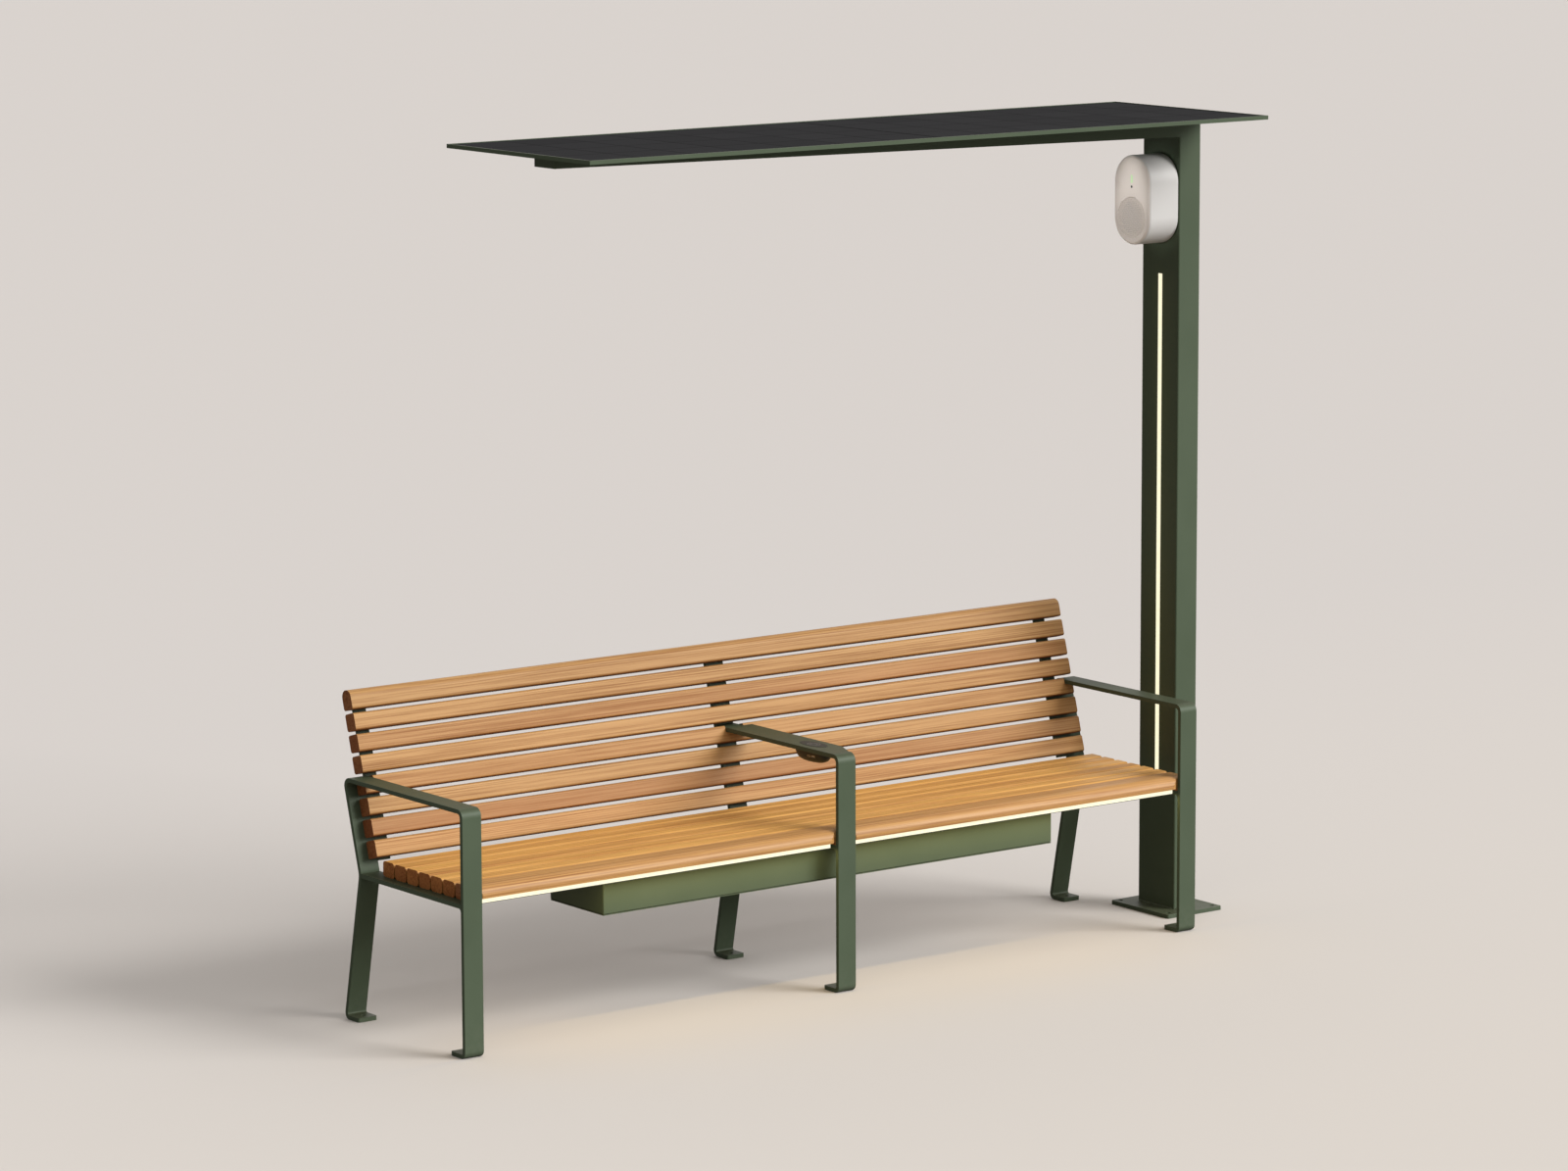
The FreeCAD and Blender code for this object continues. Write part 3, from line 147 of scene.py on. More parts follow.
@dataclass(frozen=True)
class Layer:
    """One layer of noise in a pattern, which can be drawn out along a board.

    Attributes:
        stretch: Scale of the noise along each axis.
        span: Range of the noise that takes effect.
        effect: What the layer gives at the two ends of that range.
        detail: Octaves.
        roughness: Weight of the octaves.
    """

    stretch: Point
    span: tuple[float, float] = (0.0, 1.0)
    effect: tuple[float, float] = (0.0, 1.0)
    detail: float = 2.0
    roughness: float = 0.5


class Graph:
    """Short helper that adds and joins shader nodes in one tree."""

    def __init__(self, tree: bpy.types.NodeTree) -> None:
        """Keep the tree and the place of the next node.

        Args:
            tree: The node tree to fill.
        """
        self.tree = tree
        self.column = 0

    @classmethod
    def cleared(cls, owner: bpy.types.ID) -> "Graph":
        """Give the emptied graph of a material or world.

        Args:
            owner: The material or world.

        Returns:
            Its graph.
        """
        owner.use_nodes = True
        owner.node_tree.nodes.clear()
        return cls(owner.node_tree)

    def add(self, kind: str, **settings) -> bpy.types.Node:
        """Add a node and set its properties.

        Args:
            kind: Blender's node type name.
            **settings: Properties by name.

        Returns:
            The new node.
        """
        node = self.tree.nodes.new(kind)
        across, down = NODE_STEP
        node.location = (self.column * across, -(self.column % NODE_ROWS) * down)
        self.column += 1
        for name, value in settings.items():
            setattr(node, name, value)
        return node

    def join(self, source: Source, target: Socket) -> None:
        """Link an output to an input, or set the input to a constant.

        Args:
            source: An output socket or a plain value.
            target: The input socket.
        """
        if isinstance(source, Socket):
            self.tree.links.new(source, target)
        elif source is not None:
            target.default_value = source

    def fill(self, node: bpy.types.Node, inputs: dict[str, Source]) -> bpy.types.Node:
        """Link or set a node's inputs by name.

        Args:
            node: The node.
            inputs: Sockets or plain values by input name.

        Returns:
            The same node.
        """
        for label, value in inputs.items():
            self.join(value, node.inputs[label])
        return node

    def group(self, tree: bpy.types.NodeTree, inputs: dict[str, Source]) -> bpy.types.Node:
        """Add a shared group.

        Args:
            tree: The group's node tree.
            inputs: Sockets or plain values by input name.

        Returns:
            The group's node.
        """
        return self.fill(self.add("ShaderNodeGroup", node_tree=tree), inputs)

    def surface(self, inputs: dict[str, Source]) -> Socket:
        """Add the surface's shader.

        Args:
            inputs: Sockets or plain values by input name.

        Returns:
            The shader's socket.
        """
        return self.fill(self.add("ShaderNodeBsdfPrincipled"), inputs).outputs[0]

    def axis(self, vector: Socket, index: int) -> Socket:
        """Give one part of a vector.

        Args:
            vector: The vector's socket.
            index: 0 for X, 1 for Y, 2 for Z.

        Returns:
            The part's socket.
        """
        node = self.add("ShaderNodeSeparateXYZ")
        self.join(vector, node.inputs[0])
        return node.outputs[index]

    def math(self, operation: str, a: Source, b: Source = None, clamp: bool = False) -> Socket:
        """Add a Math node.

        Args:
            operation: The node's operation.
            a: First value or socket.
            b: Second value or socket.
            clamp: Whether the result is kept between 0 and 1.

        Returns:
            The result's socket.
        """
        node = self.add("ShaderNodeMath", operation=operation, use_clamp=clamp)
        self.join(a, node.inputs[0])
        self.join(b, node.inputs[1])
        return node.outputs[0]

    def vector_math(self, operation: str, a: Source, b: Source = None) -> Socket:
        """Add a Vector Math node and give its result.

        Args:
            operation: The node's operation.
            a: First vector or socket.
            b: Second vector or socket.

        Returns:
            The result's socket, which is a number for a length or a dot product.
        """
        node = self.add("ShaderNodeVectorMath", operation=operation)
        self.join(a, node.inputs[0])
        self.join(b, node.inputs[1])
        return node.outputs["Value" if operation in ("LENGTH", "DOT_PRODUCT") else "Vector"]

    def from_middle(self, value: Socket) -> Socket:
        """Give how far a repeating value is from the middle of its step.

        Args:
            value: The value's socket, which repeats after every whole number.

        Returns:
            The distance's socket, 0 to 0.5.
        """
        return self.math("ABSOLUTE", self.math("SUBTRACT", self.math("FRACT", value), 0.5))

    def noise(
        self, vector: Socket, scale: Source, detail: float = 2.0, roughness: float = 0.5
    ) -> Socket:
        """Add a Noise texture and give its factor.

        Args:
            vector: Texture coordinates.
            scale: Pattern scale, a number or a socket.
            detail: Octaves.
            roughness: Weight of the octaves.

        Returns:
            The factor's socket.
        """
        node = self.add("ShaderNodeTexNoise", noise_dimensions="3D")
        self.fill(node, {"Vector": vector, "Scale": scale})
        self.fill(node, {"Detail": detail, "Roughness": roughness})
        return node.outputs["Fac"]

    def remap(
        self, value: Socket, low: float, high: float, to_low: float = 0.0, to_high: float = 1.0
    ) -> Socket:
        """Map a range of values to another, with clamping.

        Args:
            value: The socket to map.
            low: Start of the source range.
            high: End of the source range.
            to_low: Result at the start.
            to_high: Result at the end.

        Returns:
            The result's socket.
        """
        node = self.add("ShaderNodeMapRange", clamp=True)
        self.fill(node, {"Value": value, "From Min": low, "From Max": high})
        self.fill(node, {"To Min": to_low, "To Max": to_high})
        return node.outputs["Result"]

    def plain_layer(self, place: Socket, layer: Layer) -> Socket:
        """Add a layer's noise without its effect.

        Args:
            place: Texture coordinates.
            layer: The layer.

        Returns:
            The noise's socket, 0 to 1.
        """
        drawn = self.vector_math("MULTIPLY", place, layer.stretch)
        return self.noise(drawn, 1.0, layer.detail, layer.roughness)

    def layer(self, place: Socket, layer: Layer) -> Socket:
        """Add a layer with its effect.

        Args:
            place: Texture coordinates.
            layer: The layer.

        Returns:
            The effect's socket.
        """
        return self.remap(self.plain_layer(place, layer), *layer.span, *layer.effect)

    def facing(self, way: Point, start: float, full: float) -> Socket:
        """Give a mask of the faces that look along a direction.

        Args:
            way: The direction, of length 1.
            start: Cosine at which the mask begins.
            full: Cosine from which it is whole.

        Returns:
            The mask's socket, 0 to 1.
        """
        normal = self.add("ShaderNodeNewGeometry").outputs["Normal"]
        return self.remap(self.vector_math("DOT_PRODUCT", normal, way), start, full)

    def mix_color(self, factor: Source, a: Source, b: Source, blend: str = "MIX") -> Socket:
        """Mix two colours.

        Args:
            factor: Share of the second colour.
            a: First colour or socket.
            b: Second colour or socket.
            blend: Blend mode.

        Returns:
            The mixed colour's socket.
        """
        node = self.add("ShaderNodeMix", data_type="RGBA", blend_type=blend)
        self.join(factor, node.inputs[0])
        self.join(rgba(a) if isinstance(a, tuple) else a, node.inputs[MIX_A])
        self.join(rgba(b) if isinstance(b, tuple) else b, node.inputs[MIX_B])
        return node.outputs[MIX_RESULT]

    def tinted(self, mask: Socket, color: Socket, tint: Color) -> Socket:
        """Multiply a colour by a tint where a mask says so.

        Args:
            mask: Share of the tint.
            color: The colour's socket.
            tint: Factor on the colour.

        Returns:
            The new colour's socket.
        """
        return self.mix_color(mask, color, self.mix_color(1.0, color, tint, "MULTIPLY"))


@dataclass(frozen=True)
class WoodFigure:
    """Numbers of the sawn hardwood's figure.

    Attributes:
        drift: Slow bend of the growth rings.
        bend: Size of that bend in metres.
        wobble: Small waves of the rings.
        waves: How many rings the waves move a ring by at most.
        rings: Growth rings in a metre.
        late: Shares of a ring at which the late wood starts, is darkest and ends.
        weight: How strongly each region shows its rings.
        late_dark: Darkness of the late wood.
        fibre: Fine fibres.
        streak: Wider streaks.
        tone: Slow change of tone.
        flush: Regions that lean to the redder colour.
        edge: Cosines between which a face gets painted shade along a long edge, where the gaps and
            undersides fall in shade.
        shade_edge_tint: Factor on the colour there, the painted shade.
        end: Cosines between which a face becomes the board's end.
        end_tint: Factor on the ends' colour.
        rough: Roughness of the early wood, and what dark wood and the ends add to it.
        relief: How far the fibres stand up in the bump, and how far the late wood does.
    """

    drift: Layer = Layer((0.7, 6.0, 6.0))
    bend: float = 0.03
    wobble: Layer = Layer((2.2, 60.0, 60.0))
    waves: float = 1.1
    rings: float = 190.0
    late: tuple[float, float, float] = (0.35, 0.95, 1.0)
    weight: Layer = Layer((0.5, 22.0, 22.0), (0.35, 0.65), (0.2, 1.0), detail=1.0)
    late_dark: float = 0.5
    fibre: Layer = Layer((9.0, 620.0, 620.0), (0.35, 0.7), (-0.14, 0.24), 3.0, 0.6)
    streak: Layer = Layer((1.6, 150.0, 150.0), (0.34, 0.68), (-0.22, 0.5), 2.0, 0.6)
    tone: Layer = Layer((0.8, 14.0, 14.0), (0.3, 0.7), (-0.14, 0.2))
    flush: Layer = Layer((0.35, 7.0, 7.0), (0.3, 0.7), (0.5, 1.4), detail=1.0)
    edge: tuple[float, float] = (0.3, 0.8)
    shade_edge_tint: Color = (0.4, 0.28, 0.22)
    end: tuple[float, float] = (0.72, 0.92)
    end_tint: Color = (0.74, 0.5, 0.48)
    rough: tuple[float, float, float] = (0.5, 0.18, 0.2)
    relief: tuple[float, float] = (0.6, -0.4)


@dataclass(frozen=True)
class SpeckleFigure:
    """Numbers of a coating's fine texture.

    Attributes:
        grain_detail: Octaves of the fine grain.
        cloud_detail: Octaves of the slow change.
        span: Range of both noises that takes effect.
        cloud_share: Share of the slow change in the tone.
        grain_share: Share of the fine grain in the tone.
    """

    grain_detail: float = 2.0
    cloud_detail: float = 3.0
    span: tuple[float, float] = (0.3, 0.7)
    cloud_share: float = 0.7
    grain_share: float = 0.3


@dataclass(frozen=True)
class CellFigure:
    """Numbers of the solar cells' pattern.

    Attributes:
        gap: Half width of the gap between cells, in shares of a cell.
        gap_full: Share of that width at which the gap is whole.
        wires: Wires across a cell.
        wire: Half width of a wire where it fades and where it ends, in shares of their pitch.
    """

    gap: float = 0.016
    gap_full: float = 0.6
    wires: float = 5.0
    wire: tuple[float, float] = (0.03, 0.045)


class GroupLibrary:
    """Shader node groups that several materials share, each made once."""

    def __init__(self) -> None:
        """Start with no groups."""
        self._made: dict[str, bpy.types.NodeTree] = {}

    def get(self, name: str) -> bpy.types.NodeTree:
        """Give a group, making it the first time.

        Args:
            name: One of wood, speckle and cells.

        Returns:
            The group's node tree.
        """
        makers = {"wood": self._make_wood, "speckle": self._make_speckle, "cells": self._make_cells}
        if name not in self._made:
            self._made[name] = makers[name]()
        return self._made[name]

    @staticmethod
    def _start(
        name: str, inputs: dict[str, str], outputs: dict[str, str]
    ) -> tuple[Graph, bpy.types.Node, bpy.types.Node]:
        """Make an empty group, and give its graph, its input node and its output node."""
        tree = bpy.data.node_groups.new(name, "ShaderNodeTree")
        for way, sockets in (("INPUT", inputs), ("OUTPUT", outputs)):
            for label, kind in sockets.items():
                tree.interface.new_socket(name=label, in_out=way, socket_type=kind)
        graph = Graph(tree)
        return graph, graph.add("NodeGroupInput"), graph.add("NodeGroupOutput")

    def _make_wood(self) -> bpy.types.NodeTree:
        """Sawn hardwood: growth rings about an off-board pith, fibres, painted shade on the long
        edges, and dark ends.
        """
        look = WoodFigure()
        graph, given, result = self._start(
            "sawn_hardwood",
            {
                "Vector": VECTOR_SOCKET,
                "Seed": VECTOR_SOCKET,
                "Pith": VECTOR_SOCKET,
                "Light": COLOR_SOCKET,
                "Dark": COLOR_SOCKET,
                "Red": COLOR_SOCKET,
                "Redness": FLOAT_SOCKET,
                "Side": VECTOR_SOCKET,
                "Other Side": FLOAT_SOCKET,
            },
            {"Color": COLOR_SOCKET, "Roughness": FLOAT_SOCKET, "Height": FLOAT_SOCKET},
        )
        place = graph.vector_math("ADD", given.outputs["Vector"], given.outputs["Seed"])
        late = self._late_wood(graph, given, place, look)
        fibre = graph.plain_layer(place, look.fibre)
        dark = graph.math("MULTIPLY", late, look.late_dark)
        dark = graph.math("ADD", dark, graph.remap(fibre, *look.fibre.span, *look.fibre.effect))
        dark = graph.math("ADD", dark, graph.layer(place, look.streak))
        dark = graph.math("ADD", dark, graph.layer(place, look.tone), clamp=True)
        color = graph.mix_color(dark, given.outputs["Light"], given.outputs["Dark"])
        flush = graph.layer(place, look.flush)
        red = graph.math("MULTIPLY", given.outputs["Redness"], flush, clamp=True)
        color = graph.mix_color(red, color, given.outputs["Red"])
        # Painted shade: darken faces that look towards the gaps and undersides, where shade falls
        # on the long edges.
        normal = graph.add("ShaderNodeNewGeometry").outputs["Normal"]
        toward = graph.vector_math("DOT_PRODUCT", normal, given.outputs["Side"])
        away = graph.math("MULTIPLY", toward, -1.0)
        away = graph.math("MULTIPLY", away, given.outputs["Other Side"])
        edge = graph.remap(graph.math("MAXIMUM", toward, away), *look.edge)
        color = graph.tinted(edge, color, look.shade_edge_tint)
        end = graph.remap(graph.math("ABSOLUTE", graph.axis(normal, 0)), *look.end)
        color = graph.tinted(end, color, look.end_tint)
        early_rough, dark_rough, end_rough = look.rough
        rough = graph.math("ADD", early_rough, graph.math("MULTIPLY", dark, dark_rough))
        rough = graph.math("ADD", rough, graph.math("MULTIPLY", end, end_rough))
        fibre_rise, late_rise = look.relief
        height = graph.math("MULTIPLY", fibre, fibre_rise)
        height = graph.math("ADD", height, graph.math("MULTIPLY", late, late_rise))
        graph.fill(result, {"Color": color, "Roughness": rough, "Height": height})
        return graph.tree

    @staticmethod
    def _late_wood(
        graph: Graph, given: bpy.types.Node, place: Socket, look: WoodFigure
    ) -> Socket:
        """Give the mask of the late wood in the growth rings about the pith."""
        drift = graph.math("SUBTRACT", graph.plain_layer(place, look.drift), 0.5)
        bend = graph.math("MULTIPLY", drift, look.bend)
        across = graph.vector_math("MULTIPLY", given.outputs["Vector"], (0.0, 1.0, 1.0))
        from_pith = graph.vector_math("SUBTRACT", across, given.outputs["Pith"])
        radius = graph.math("ADD", graph.vector_math("LENGTH", from_pith), bend)
        waves = graph.math("MULTIPLY", graph.plain_layer(place, look.wobble), look.waves)
        rings = graph.math("ADD", graph.math("MULTIPLY", radius, look.rings), waves)
        phase = graph.math("FRACT", rings)
        start, darkest, stop = look.late
        late = graph.remap(phase, start, darkest)
        late = graph.math("MULTIPLY", late, graph.remap(phase, darkest, stop, 1.0, 0.0))
        return graph.math("MULTIPLY", late, graph.layer(place, look.weight))

    def _make_speckle(self) -> bpy.types.NodeTree:
        """Fine surface texture of a coating or moulding, with a slow change of tone."""
        look = SpeckleFigure()
        graph, given, result = self._start(
            "fine_speckle",
            {"Vector": VECTOR_SOCKET, "Grain": FLOAT_SOCKET, "Cloud": FLOAT_SOCKET},
            {"Tone": FLOAT_SOCKET, "Height": FLOAT_SOCKET, "Gloss": FLOAT_SOCKET},
        )
        place = given.outputs["Vector"]
        grain = graph.noise(place, given.outputs["Grain"], look.grain_detail)
        cloud = graph.noise(place, given.outputs["Cloud"], look.cloud_detail)
        slow = graph.remap(cloud, *look.span, 0.0, look.cloud_share)
        fine = graph.remap(grain, *look.span, 0.0, look.grain_share)
        tone = graph.math("ADD", slow, fine)
        graph.fill(result, {"Tone": tone, "Height": grain, "Gloss": graph.remap(cloud, *look.span)})
        return graph.tree

    def _make_cells(self) -> bpy.types.NodeTree:
        """Mask of the thin gaps between solar cells and of the finer wires across them."""
        look = CellFigure()
        graph, given, result = self._start(
            "solar_cells",
            {"Vector": VECTOR_SOCKET, "Pitch": VECTOR_SOCKET, "Start": VECTOR_SOCKET},
            {"Gap": FLOAT_SOCKET, "Wire": FLOAT_SOCKET, "Tone": FLOAT_SOCKET},
        )
        shifted = graph.vector_math("SUBTRACT", given.outputs["Vector"], given.outputs["Start"])
        scaled = graph.vector_math("DIVIDE", shifted, given.outputs["Pitch"])
        outer = 0.5 - look.gap
        inner = 0.5 - look.gap * look.gap_full
        gaps = [
            graph.remap(graph.from_middle(graph.axis(scaled, index)), outer, inner)
            for index in (0, 1)
        ]
        gap = graph.math("MAXIMUM", *gaps)
        wires = graph.math("MULTIPLY", graph.axis(scaled, 1), look.wires)
        wire = graph.remap(graph.from_middle(wires), *look.wire, 1.0, 0.0)
        cell = graph.add("ShaderNodeTexWhiteNoise", noise_dimensions="3D")
        graph.join(graph.vector_math("FLOOR", scaled), cell.inputs["Vector"])
        graph.fill(result, {"Gap": gap, "Wire": wire, "Tone": cell.outputs["Value"]})
        return graph.tree


class Finish:
    """Base of all finishes. The workshop makes each finish's material once."""

    name: str

    def build(self, groups: GroupLibrary) -> bpy.types.Material:
        """Make the material.

        Args:
            groups: Shared node groups.

        Returns:
            The new material.
        """
        material = bpy.data.materials.new(self.name)
        graph = Graph.cleared(material)
        output = graph.add("ShaderNodeOutputMaterial")
        graph.join(self.shade(graph, groups), output.inputs["Surface"])
        return material

    def shade(self, graph: Graph, groups: GroupLibrary) -> Socket:
        """Fill the graph and give the surface's shader socket.

        Args:
            graph: The material's graph.
            groups: Shared node groups.

        Returns:
            The shader socket.
        """
        raise NotImplementedError

    @staticmethod
    def coordinates(graph: Graph) -> Socket:
        """Give object coordinates, which are metres in the row frame.

        Args:
            graph: The material's graph.

        Returns:
            The coordinates' socket.
        """
        return graph.add("ShaderNodeTexCoord").outputs["Object"]

    @staticmethod
    def bump(graph: Graph, height: Socket, strength: float, distance: float) -> Socket:
        """Turn a height into a bumped normal.

        Args:
            graph: The material's graph.
            height: The height's socket.
            strength: Share of the effect.
            distance: Depth in metres.

        Returns:
            The normal's socket.
        """
        node = graph.add("ShaderNodeBump")
        graph.fill(node, {"Strength": strength, "Distance": distance, "Height": height})
        return node.outputs["Normal"]


@dataclass(frozen=True)
class WoodFinish(Finish):
    """Oiled hardwood of one slat.

    Attributes:
        name: Material name.
        light: Colour of the early wood.
        dark: Colour of the late wood.
        red: Colour that redder boards lean to.
        redness: How far this board leans to it.
        seed: Shift of the pattern, so that no two boards are alike.
        pith: Axis that the growth rings run about, in metres.
        side: Direction of the long edge that gets painted shade, where the gap or underside falls
            in shade.
        other_shade_side: How much painted shade the opposite long edge gets beside it.
        coat: Weight of the satin oil film.
        coat_roughness: Roughness of that film.
        gloss: Level of the surface's reflection.
        relief: Strength of the bump.
        depth: Depth of the bump in metres.
    """

    name: str
    light: Color
    dark: Color
    red: Color = (0.353, 0.133, 0.041)
    redness: float = 0.1
    seed: Point = (0.0, 0.0, 0.0)
    pith: Point = (0.0, 0.0, 0.0)
    side: Point = (0.0, 0.0, -1.0)
    other_shade_side: float = 1.0
    coat: float = 0.04
    coat_roughness: float = 0.35
    gloss: float = 0.26
    relief: float = 0.35
    depth: float = 0.00035

    def shade(self, graph: Graph, groups: GroupLibrary) -> Socket:
        """See Finish.shade."""
        group = graph.group(groups.get("wood"), {
            "Vector": self.coordinates(graph),
            "Seed": self.seed,
            "Pith": self.pith,
            "Light": rgba(self.light),
            "Dark": rgba(self.dark),
            "Red": rgba(self.red),
            "Redness": self.redness,
            "Side": self.side,
            "Other Side": self.other_shade_side,
        })
        return graph.surface({
            "Base Color": group.outputs["Color"],
            "Roughness": group.outputs["Roughness"],
            "Specular IOR Level": self.gloss,
            "Coat Weight": self.coat,
            "Coat Roughness": self.coat_roughness,
            "Normal": self.bump(graph, group.outputs["Height"], self.relief, self.depth),
        })


@dataclass(frozen=True)
class Dust:
    """Pale dust that gathers near the ground.

    Attributes:
        top: Height that it reaches, in metres.
        color: Its colour.
        patches: The layer that breaks it up.
    """

    top: float = 0.12
    color: Color = (0.42, 0.39, 0.34)
    patches: Layer = Layer((55.0, 55.0, 55.0), (0.4, 0.7), (0.2, 1.0), 4.0, 0.65)

    def cover(self, graph: Graph, place: Socket, color: Socket, amount: float) -> Socket:
        """Lay the dust over a colour.

        Args:
            graph: The material's graph.
            place: Object coordinates.
            color: The colour's socket.
            amount: Share of dust at the ground.

        Returns:
            The dusty colour's socket.
        """
        low = graph.remap(graph.axis(place, 2), 0.0, self.top, amount, 0.0)
        share = graph.math("MULTIPLY", low, graph.layer(place, self.patches))
        return graph.mix_color(share, color, self.color)


@dataclass(frozen=True)
class CoatFinish(Finish):
    """Powder coat, paint, plastic or rubber with a fine texture.

    Attributes:
        name: Material name.
        color: Main colour.
        second: Colour that the slow tone change leads to.
        roughness: Lowest roughness.
        roughness_span: How much rougher the surface gets.
        metallic: Metal share.
        grain: Scale of the fine texture.
        depth: Depth of the fine texture in metres.
        cloud: Scale of the slow change.
        dust: How much pale dust gathers near the ground.
        gloss: Level of the surface's reflection, where 0.5 is plain plastic.
        top_shade: Factor on the colour of upward faces, painted shade that makes them darker and
            browner.
        top_shade_from: Cosine from straight up at which the painted shade begins.
        top_shade_full: Cosine from which it is whole.
        relief: Strength of the fine texture's bump.
    """

    name: str
    color: Color
    second: Color
    roughness: float = 0.45
    roughness_span: float = 0.1
    metallic: float = 0.0
    grain: float = 900.0
    depth: float = 0.00012
    cloud: float = 6.0
    dust: float = 0.0
    gloss: float = 0.5
    top_shade: Optional[Color] = None
    top_shade_from: float = 0.5
    top_shade_full: float = 0.9
    relief: float = 0.5

    def shade(self, graph: Graph, groups: GroupLibrary) -> Socket:
        """See Finish.shade."""
        place = self.coordinates(graph)
        inputs = {"Vector": place, "Grain": self.grain, "Cloud": self.cloud}
        group = graph.group(groups.get("speckle"), inputs)
        color = self.tint(graph, group.outputs["Tone"])
        # Painted shade: upward faces are made darker and browner.
        if self.top_shade:
            upward = graph.facing((0.0, 0.0, 1.0), self.top_shade_from, self.top_shade_full)
            color = graph.tinted(upward, color, self.top_shade)
        if self.dust > 0:
            color = Dust().cover(graph, place, color, self.dust)
        roughest = self.roughness + self.roughness_span
        return graph.surface({
            "Base Color": color,
            "Roughness": graph.remap(group.outputs["Gloss"], 0.0, 1.0, self.roughness, roughest),
            "Metallic": self.metallic,
            "Specular IOR Level": self.gloss,
            "Normal": self.bump(graph, group.outputs["Height"], self.relief, self.depth),
        })

    def tint(self, graph: Graph, tone: Socket) -> Socket:
        """Give the colour before the painted top shade and dust.

        Args:
            graph: The material's graph.
            tone: Slow change of tone, 0 to 1.

        Returns:
            The colour's socket.
        """
        return graph.mix_color(tone, self.color, self.second)


@dataclass(frozen=True)
class ShellFinish(CoatFinish):
    """Two-tone moulding: a warm front cover and a cooler shell behind it.

    Attributes:
        front: Colour of the faces that look along -X, lighter for painted light.
        front_from: Cosine from -X at which the front's colour begins.
        front_full: Cosine from which it is whole.
    """

    front: Color = (0.81, 0.74, 0.685)
    front_from: float = 0.35
    front_full: float = 0.75

    def tint(self, graph: Graph, tone: Socket) -> Socket:
        """See CoatFinish.tint."""
        # Painted light: faces that look along -X take the lighter front colour.
        facing = graph.facing((-1.0, 0.0, 0.0), self.front_from, self.front_full)
        return graph.mix_color(facing, super().tint(graph, tone), self.front)


@dataclass(frozen=True)
class GlowFinish(Finish):
    """Opal plastic lit from behind, brighter over each light point.

    Attributes:
        name: Material name.
        color: Light colour over the light points.
        between: Light colour between them.
        strength: Brightness.
        spot_scale: Scale of the pattern of light points.
        spot_span: Range of that pattern's noise that takes effect.
        opal: Colour of the plastic over the light points, lighter there as painted light.
        opal_between: Colour of the plastic between them.
        unlit: Colour of the plastic where the piece isn't lit.
        roughness: Roughness between the light points and over them.
    """

    name: str
    color: Color
    between: Color
    strength: float
    spot_scale: float = 85.0
    spot_span: tuple[float, float] = (0.35, 0.65)
    opal: Color = (0.26, 0.25, 0.19)
    opal_between: Color = (0.2, 0.19, 0.14)
    unlit: Color = (0.02, 0.02, 0.02)
    roughness: tuple[float, float] = (0.4, 0.5)

    def shade(self, graph: Graph, groups: GroupLibrary) -> Socket:
        """See Finish.shade."""
        noise = graph.noise(self.coordinates(graph), self.spot_scale, 1.0)
        spots = graph.remap(noise, *self.spot_span)
        glow = graph.mix_color(spots, self.between, self.color)
        # Painted light: the plastic's colour is lighter over the light points.
        opal = graph.mix_color(spots, self.opal_between, self.opal)
        lit = self.lit(graph)
        if lit is not None:
            glow = graph.mix_color(lit, (0.0, 0.0, 0.0), glow)
            opal = graph.mix_color(lit, self.unlit, opal)
        return graph.surface({
            "Emission Color": glow,
            "Base Color": opal,
            "Roughness": graph.remap(spots, 0.0, 1.0, *self.roughness),
            "Emission Strength": self.strength,
        })

    def lit(self, graph: Graph) -> Optional[Socket]:
        """Give the mask of the lit part, or nothing where all of it is lit.

        Args:
            graph: The material's graph.

        Returns:
            A socket that is 1 where the piece is lit, or None.
        """
        return None


@dataclass(frozen=True)
class LensFinish(GlowFinish):
    """Lit lens with a dark round sensor window below it.

    Attributes:
        sensor_top: Height below which the dark window lies, in metres.
        sensor_blur: Height over which the light sets in.
    """

    sensor_top: float = 2.1222
    sensor_blur: float = 0.0002

    def lit(self, graph: Graph) -> Socket:
        """See GlowFinish.lit."""
        height = graph.axis(self.coordinates(graph), 2)
        return graph.remap(height, self.sensor_top, self.sensor_top + self.sensor_blur)


@dataclass(frozen=True)
class PanelFinish(Finish):
    """Black laminated solar panel: dark cells, thin gaps and fine wires under clear glass.

    Attributes:
        name: Material name.
        start: Corner of the cell field in the row frame.
        pitch: Cell size along the canopy and across it, in metres.
        cell: Colour of the darkest cells.
        cell_pale: Colour of the palest cells.
        wire: Colour of the wires.
        wire_share: How far the wires show.
        gap: Colour of the gaps between the cells.
        smear: Layer of smears, which gives the roughness.
        coat: Weight of the glass's reflection.
        coat_roughness: Roughness of that reflection.
    """

    name: str
    start: Point
    pitch: Point
    cell: Color = (0.0115, 0.0115, 0.0135)
    cell_pale: Color = (0.015, 0.015, 0.0172)
    wire: Color = (0.05, 0.05, 0.053)
    wire_share: float = 0.12
    gap: Color = (0.0045, 0.0045, 0.005)
    smear: Layer = Layer((7.0, 7.0, 7.0), (0.3, 0.7), (0.3, 0.36), 3.0)
    coat: float = 0.05
    coat_roughness: float = 0.12

    def shade(self, graph: Graph, groups: GroupLibrary) -> Socket:
        """See Finish.shade."""
        place = self.coordinates(graph)
        inputs = {"Vector": place, "Pitch": self.pitch, "Start": self.start}
        group = graph.group(groups.get("cells"), inputs)
        color = graph.mix_color(group.outputs["Tone"], self.cell, self.cell_pale)
        wire = graph.math("MULTIPLY", group.outputs["Wire"], self.wire_share)
        color = graph.mix_color(wire, color, self.wire)
        return graph.surface({
            "Base Color": graph.mix_color(group.outputs["Gap"], color, self.gap),
            "Roughness": graph.layer(place, self.smear),
            "Specular IOR Level": 0.0,
            "Coat Weight": self.coat,
            "Coat Roughness": self.coat_roughness,
        })


